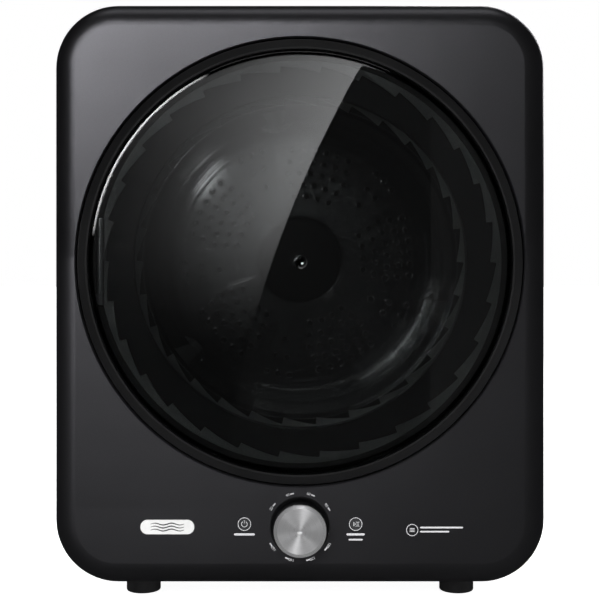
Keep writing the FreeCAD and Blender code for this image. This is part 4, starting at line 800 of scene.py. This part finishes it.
def rear_plate():
    """A blank data plate, riveted at its corners."""
    parts = Parts()
    (left, foot), (right, head) = PLATE_LOW, PLATE_HIGH
    inset = PLATE_CORNER_R
    corners = []
    for x, z, start in ((right - inset, head - inset, 0), (left + inset, head - inset, 90),
                        (left + inset, foot + inset, 180), (right - inset, foot + inset, 270)):
        corners += circle(Vector((x, 0.0, z)), PLATE_CORNER_R, 6, start, 90.0)
    top = REAR_FACE + PLATE_THICK
    parts.slab(corners, REAR_FACE + 0.00002, top)
    rivet = [(0.0, top + 0.0011), (0.0012, top + 0.0009), (0.0020, top), (0.0, top)]
    for x in (left + RIVET_INSET, right - RIVET_INSET):
        for z in (foot + RIVET_INSET, head - RIVET_INSET):
            parts.turned(Vector((x, 0.0, z)), rivet, 20)
    return parts.piece("rear_plate", "cabinet", FINISHES["bright_steel"])


# ---- pieces: markings ----
def glyph(text, height, centre, near, parts, turn=0.0):
    """Digits from the built-in face, as thin slabs turned about a point."""
    curve = bpy.data.curves.new("glyph", "FONT")
    curve.body = text
    curve.size = height / 0.73
    curve.align_x = "CENTER"
    curve.align_y = "CENTER"
    curve.extrude = INK / 2
    holder = bpy.data.objects.new("glyph", curve)
    bpy.context.scene.collection.objects.link(holder)
    bpy.context.view_layer.update()
    mesh = bpy.data.meshes.new_from_object(holder.evaluated_get(bpy.context.evaluated_depsgraph_get()))
    cosine, sine = math.cos(math.radians(turn)), math.sin(math.radians(turn))
    points = [(centre.x + v.co.x * cosine - v.co.y * sine, near + v.co.z,
               centre.z + v.co.x * sine + v.co.y * cosine) for v in mesh.vertices]
    parts.add(points, [tuple(polygon.vertices) for polygon in mesh.polygons])
    bpy.data.objects.remove(holder)
    bpy.data.curves.remove(curve)
    bpy.data.meshes.remove(mesh)


def ring(parts, centre, radius, width, near, count=64, start=0.0, sweep=360.0):
    """A flat ring, or an arc of one, printed on a face."""
    inner = circle(centre, radius - width / 2, count, start, sweep)
    outer = circle(centre, radius + width / 2, count, start, sweep)
    if sweep == 360.0:
        parts.band(inner, outer, near - INK, near)
    else:
        parts.slab(inner + outer[::-1], near - INK, near)


def bar(parts, x0, x1, z0, z1, near):
    """A printed bar with round ends."""
    radius = (z1 - z0) / 2
    left = Vector((x0 + radius, 0.0, z0 + radius))
    right = Vector((x1 - radius, 0.0, z0 + radius))
    outline = circle(right, radius, 9, -90.0, 180.0) + circle(left, radius, 9, 90.0, 180.0)
    parts.slab(outline, near - INK, near)


def dial_marks():
    """Minutes round the dial, each with a short bar after it; the top and bottom places are empty."""
    parts = Parts()
    face = PANEL_FACE
    places = [place for place in range(1, DIAL_PLACES) if place != DIAL_PLACES // 2]
    for count, place in enumerate(places):
        degrees = 180.0 - 360.0 * place / DIAL_PLACES
        x, z = on_circle(KNOB, DIAL_MARK_R, degrees + DIAL_TEXT_TURN)
        minutes = str(DIAL_MINUTES * (count + 1))
        turn = degrees + DIAL_TEXT_TURN - 90.0
        glyph(minutes, DIAL_TEXT, Vector((x, 0.0, z)), face - INK / 2, parts, turn)
        ring(parts, KNOB, DIAL_MARK_R, DIAL_BAR, face, 9, degrees + DIAL_BAR_TURN, DIAL_BAR_SWEEP)
    return parts.piece("dial_marks", "cabinet", INKS["pale"])


def power_mark():
    """A ring round the left key, and the on sign: an open ring with a bar."""
    parts = Parts()
    key = middle("power_button")
    face = front("power_button")
    ring(parts, key, KEY_RING_R - KEY_RING_WIDTH, KEY_RING_WIDTH, face)
    ring(parts, key, KEY_SYMBOL_R, 0.0006, face, 40, 120.0, 300.0)
    bar(parts, key.x - 0.0003, key.x + 0.0003, key.z + 0.0012, key.z + 0.0046, face)
    return parts.piece("power_mark", "power_key", INKS["pale"])


def start_mark():
    """A ring round the right key, and the start and pause sign: an arrow and two bars."""
    parts = Parts()
    key = middle("start_button")
    face = front("start_button")
    ring(parts, key, KEY_RING_R - KEY_RING_WIDTH, KEY_RING_WIDTH, face)
    reach = START_REACH
    arrow = [(key.x - reach, key.z - reach), (key.x + 0.0004, key.z), (key.x - reach, key.z + reach)]
    inner = [(key.x - reach + 0.0006, key.z - reach * 0.6), (key.x - 0.0006, key.z),
             (key.x - reach + 0.0006, key.z + reach * 0.6)]
    parts.band(inner, arrow, face - INK, face)
    for offset in (0.0014, 0.0028):
        bar(parts, key.x + offset, key.x + offset + 0.0006, key.z - reach, key.z + reach, face)
    return parts.piece("start_mark", "start_key", INKS["pale"])


def panel_captions():
    """Plain bars under the keys, and the mark at the right."""
    parts = Parts()
    for node, halves in CAPTION_HALVES.items():
        key = middle(node)
        for line, half in enumerate(halves):
            z = key.z - CAPTION_DROP - line * CAPTION_LINE
            height = CAPTION_HEIGHT - line * 0.0006
            bar(parts, key.x - half, key.x + half, z, z + height, PANEL_FACE)
    rating = Vector((RATING_X, 0.0, RATING_Z))
    ring(parts, rating, RATING_R, 0.0007, PANEL_FACE)
    for offset in (-0.0018, 0.0, 0.0018):
        bar(parts, rating.x - 0.0030, rating.x + 0.0030, rating.z + offset - 0.0004,
            rating.z + offset + 0.0004, PANEL_FACE)
    for x0, x1, z, height in RATING_BARS:
        bar(parts, x0, x1, z, z + height, PANEL_FACE)
    return parts.piece("panel_captions", "cabinet", INKS["pale"])


def badge_waves():
    """Three rising waves on the white badge."""
    parts = Parts()
    face = front("badge_plate")
    for row in range(3):
        upper, lower = [], []
        for step in range(49):
            share = step / 48
            x = BADGE.x + (share - 0.5) * WAVE_LENGTH
            z = BADGE.z + (row - 1) * WAVE_PITCH + WAVE_HEIGHT * math.sin(share * 4 * math.pi)
            half = 0.0005 * math.sin(math.pi * min(1.0, max(0.0, 0.04 + share * 0.92))) + 0.0002
            upper.append((x, z + half))
            lower.append((x, z - half))
        parts.slab(lower + upper[::-1], face - INK, face)
    return parts.piece("badge_waves", "cabinet", INKS["dark"])


# ---- stage ----
def emission(name, strength_attribute="glow"):
    """Light as strong as a value that each point of the mesh holds."""
    made = bpy.data.materials.new(name)
    made.use_nodes = True
    tree = made.node_tree
    tree.nodes.clear()
    glow = tree.nodes.new("ShaderNodeAttribute")
    glow.attribute_name = strength_attribute
    light = tree.nodes.new("ShaderNodeEmission")
    shown = tree.nodes.new("ShaderNodeOutputMaterial")
    light.inputs["Color"].default_value = (0.985, 0.99, 1.0, 1.0)
    tree.links.new(glow.outputs["Fac"], light.inputs["Strength"])
    tree.links.new(light.outputs["Emission"], shown.inputs["Surface"])
    return made


def on_dome(x, z):
    """A point of the domed glass and its normal."""
    crown = PANEL_FACE + GLASS_TURN - GLASS_ROLL - GLASS_RISE
    centre = Vector((DOOR.x, crown + GLASS_SPHERE_R, DOOR.z))
    flat = Vector((x, 0.0, z)) - Vector((centre.x, 0.0, centre.z))
    point = Vector((x, centre.y - math.sqrt(GLASS_SPHERE_R ** 2 - flat.length_squared), z))
    return point, (point - centre).normalized()


def on_roll(degrees, tilt):
    """A point of the glass's rolled edge and its normal."""
    heading = Vector((math.cos(math.radians(degrees)), 0.0, math.sin(math.radians(degrees))))
    lean = math.radians(tilt)
    normal = heading * math.sin(lean) + Vector((0.0, -math.cos(lean), 0.0))
    turn = Vector((DOOR.x, PANEL_FACE + GLASS_TURN, DOOR.z)) + heading * (GLASS_R - GLASS_ROLL)
    point = turn + normal * GLASS_ROLL
    return point, normal


def met_by_mirror(point, normal, behind):
    """Where a sight line that meets the glass at a point reaches the plane of a light."""
    sight = (point - CAMERA).normalized()
    leaving = sight - 2 * sight.dot(normal) * normal
    plane = PANEL_FACE - LIGHT_BACK - behind
    return point + leaving * ((plane - point.y) / leaving.y)


def light_sheet(name, glass_at, glow_at, behind=0.0, across=24, up=24):
    """A soft light on the plane behind the camera, given by where it shows in the glass."""
    points, faces, glow = [], [], []
    for row in range(up + 1):
        v = row / up
        for column in range(across + 1):
            u = column / across
            points.append(met_by_mirror(*glass_at(u, v), behind))
            glow.append(glow_at(u, v))
    for row in range(up):
        for column in range(across):
            start = row * (across + 1) + column
            faces.append((start, start + 1, start + across + 2, start + across + 1))
    mesh = bpy.data.meshes.new(name)
    mesh.from_pydata([tuple(point) for point in points], [], faces)
    attribute = mesh.attributes.new("glow", "FLOAT", "POINT")
    attribute.data.foreach_set("value", glow)
    mesh.materials.append(emission(name))
    made = bpy.data.objects.new(name, mesh)
    bpy.context.scene.collection.objects.link(made)
    made.visible_camera = False
    return made


def link_light(light, lit, state):
    """Keep a light to some objects (INCLUDE), or off them (EXCLUDE)."""
    chosen = bpy.data.collections.new(light.name + "_link")
    for thing in lit:
        chosen.objects.link(thing)
    for entry in chosen.collection_objects:
        entry.light_linking.link_state = state
    light.light_linking.receiver_collection = chosen


def slanted_edge(z):
    share = (z - EDGE_LOW[1]) / (EDGE_HIGH[1] - EDGE_LOW[1])
    bow = EDGE_BOW * 4 * share * (1 - share)
    return EDGE_LOW[0] + (EDGE_HIGH[0] - EDGE_LOW[0]) * share - bow


def key_corners(u, v):
    z = SHEET_LOW + (SHEET_TOP - SHEET_LOW) * v
    edge = slanted_edge(z)
    return SHEET_LEFT + (edge - SHEET_LEFT) * u, z


def key_place(u, v):
    return on_dome(*key_corners(u, v))


def smooth_step(low, high, value):
    share = max(0.0, min(1.0, (value - low) / (high - low)))
    return share * share * (3 - 2 * share)


def key_glow(u, v):
    """Brightest beside the upper part of the slanted edge; it fades to the left and down."""
    x, z = key_corners(u, v)
    along = smooth_step(*KEY_FADE, z) ** 1.5
    reach = KEY_REACH + KEY_REACH_MORE * smooth_step(*KEY_WIDENS, z)
    beside = math.exp(-(max(0.0, slanted_edge(z) - x) / reach) ** 1.3)
    return KEY_BASE + KEY_GLOW * along * beside


def fill_place(u, v):
    return on_dome(FILL_CORNER[0] + FILL_SPAN[0] * u, FILL_CORNER[1] + FILL_SPAN[1] * v)


def fill_glow(u, v):
    """Half as bright at its right edge."""
    return FILL_GLOW * (1.0 - 0.5 * u)


def base_place(u, v):
    return on_dome(BASE_CORNER[0] + BASE_SPAN[0] * u, BASE_CORNER[1] + BASE_SPAN[1] * v)


def base_glow(u, v):
    """The same all over."""
    return BASE_GLOW


def streak_place(u, v):
    degrees = STREAK_START + (STREAK_END - STREAK_START) * u
    return on_roll(degrees, STREAK_LOW + (STREAK_HIGH - STREAK_LOW) * v)


def streak_glow(u, v):
    """Brightest along its middle; it fades to nothing at its edges and ends."""
    return STREAK_GLOW * (math.sin(math.pi * v) * math.sin(math.pi * u) ** 0.5 if 0 < u < 1 else 0.0)


def area_light(name, place, aim, size, power, size_y=None):
    """A lamp that faces a point and is itself unseen, straight on or through glass."""
    lamp = bpy.data.lights.new(name, "AREA")
    lamp.shape = "RECTANGLE"
    lamp.size = size
    lamp.size_y = size_y or size
    lamp.energy = power
    made = bpy.data.objects.new(name, lamp)
    made.location = place
    made.rotation_mode = "QUATERNION"
    made.rotation_quaternion = (Vector(aim) - Vector(place)).to_track_quat("-Z", "Y")
    made.visible_camera = False
    made.visible_transmission = False
    bpy.context.scene.collection.objects.link(made)
    return made


def pale_floor():
    """A pale, faintly mottled floor."""
    made = Shader("pale_floor", roughness=0.85)
    patchy(made, (0.93, 0.93, 0.93), 0.01, 2.0)
    made.set(**{"Emission Strength": 0.95})
    made.surface.inputs["Emission Color"].default_value = (1.0, 1.0, 1.0, 1.0)
    made.bump(made.noise(300.0, 2.0), 0.0001, 0.2)
    mesh = bpy.data.meshes.new("floor")
    reach = 14.0
    mesh.from_pydata([(-reach, -reach, 0), (reach, -reach, 0), (reach, reach, 0), (-reach, reach, 0)],
                     [], [(0, 1, 2, 3)])
    mesh.materials.append(made.material)
    floor = bpy.data.objects.new("floor", mesh)
    bpy.context.scene.collection.objects.link(floor)
    floor.visible_glossy = False
    floor.visible_shadow = False
    floor.visible_transmission = False


def studio(glass_piece):
    """The pale floor and world, the sheets that the glass mirrors, and the lamps."""
    world = bpy.data.worlds.new("studio")
    world.use_nodes = True
    backdrop = world.node_tree.nodes["Background"]
    backdrop.inputs["Color"].default_value = (1.0, 1.0, 1.0, 1.0)
    backdrop.inputs["Strength"].default_value = 1.0
    world.cycles_visibility.glossy = False
    world.cycles_visibility.transmission = False
    bpy.context.scene.world = world
    pale_floor()
    paint = (NODES["front_panel"], NODES["cabinet_wrap"])
    link_light(light_sheet("key_sheet", key_place, key_glow), paint, "EXCLUDE")
    link_light(light_sheet("fill_sheet", fill_place, fill_glow, FILL_BEHIND), paint, "EXCLUDE")
    link_light(light_sheet("base_sheet", base_place, base_glow, BASE_BEHIND), paint, "EXCLUDE")
    streak = light_sheet("streak_sheet", streak_place, streak_glow, STREAK_BEHIND)
    link_light(streak, (glass_piece,), "INCLUDE")
    plane = PANEL_FACE - LIGHT_BACK
    for x, z, width, height, power in BODY_LIGHTS:
        lamp = area_light("body_light", (x, plane, z), (x, 0, z), width, power, height)
        link_light(lamp, paint, "INCLUDE")
    area_light("overhead_light", (0.0, -0.30, 2.1), (0, -0.25, 0.6), 1.6, 1.2, 0.4)
    area_light("drum_light", (-0.16, 0.05, 0.55), (0.16, 0.15, 0.37), 0.06, 0.10)
    for place, power in KNOB_LIGHTS:
        fan = area_light("knob_light", place, (0, -0.28, 0.09), KNOB_LIGHT_SIZE, power)
        link_light(fan, (NODES["knob_cap"],), "INCLUDE")
    area_light("rear_light", (1.2, 2.4, 1.6), (0, 0.2, 0.35), 1.6, 45.0)
    side = area_light("side_light", (-2.6, 1.2, 1.2), (0, 0, 0.35), 1.4, 22.0)
    link_light(side, (NODES["front_panel"],), "EXCLUDE")


def camera():
    data = bpy.data.cameras.new("camera")
    data.lens = LENS
    data.sensor_width = 36.0
    data.shift_y = SHIFT_Y
    data.clip_start = 0.05
    data.clip_end = 60.0
    made = bpy.data.objects.new("camera", data)
    made.location = CAMERA
    made.rotation_euler = (math.radians(90.0), 0.0, 0.0)
    bpy.context.scene.collection.objects.link(made)
    bpy.context.scene.camera = made


bpy.context.scene.view_settings.view_transform = "Standard"
dress_cad_nodes()
drum_dimples()
drum_beads()
saw_ring("outer_saw_ring", OUTER_SAW, OUTER_SAW_FACE)
saw_ring("inner_saw_ring", INNER_SAW, INNER_SAW_FACE)
dial_marks()
power_mark()
start_mark()
panel_captions()
badge_waves()
hub_disc()
well_liner()
rear_louvres()
rear_plate()
studio(door_glass())
camera()
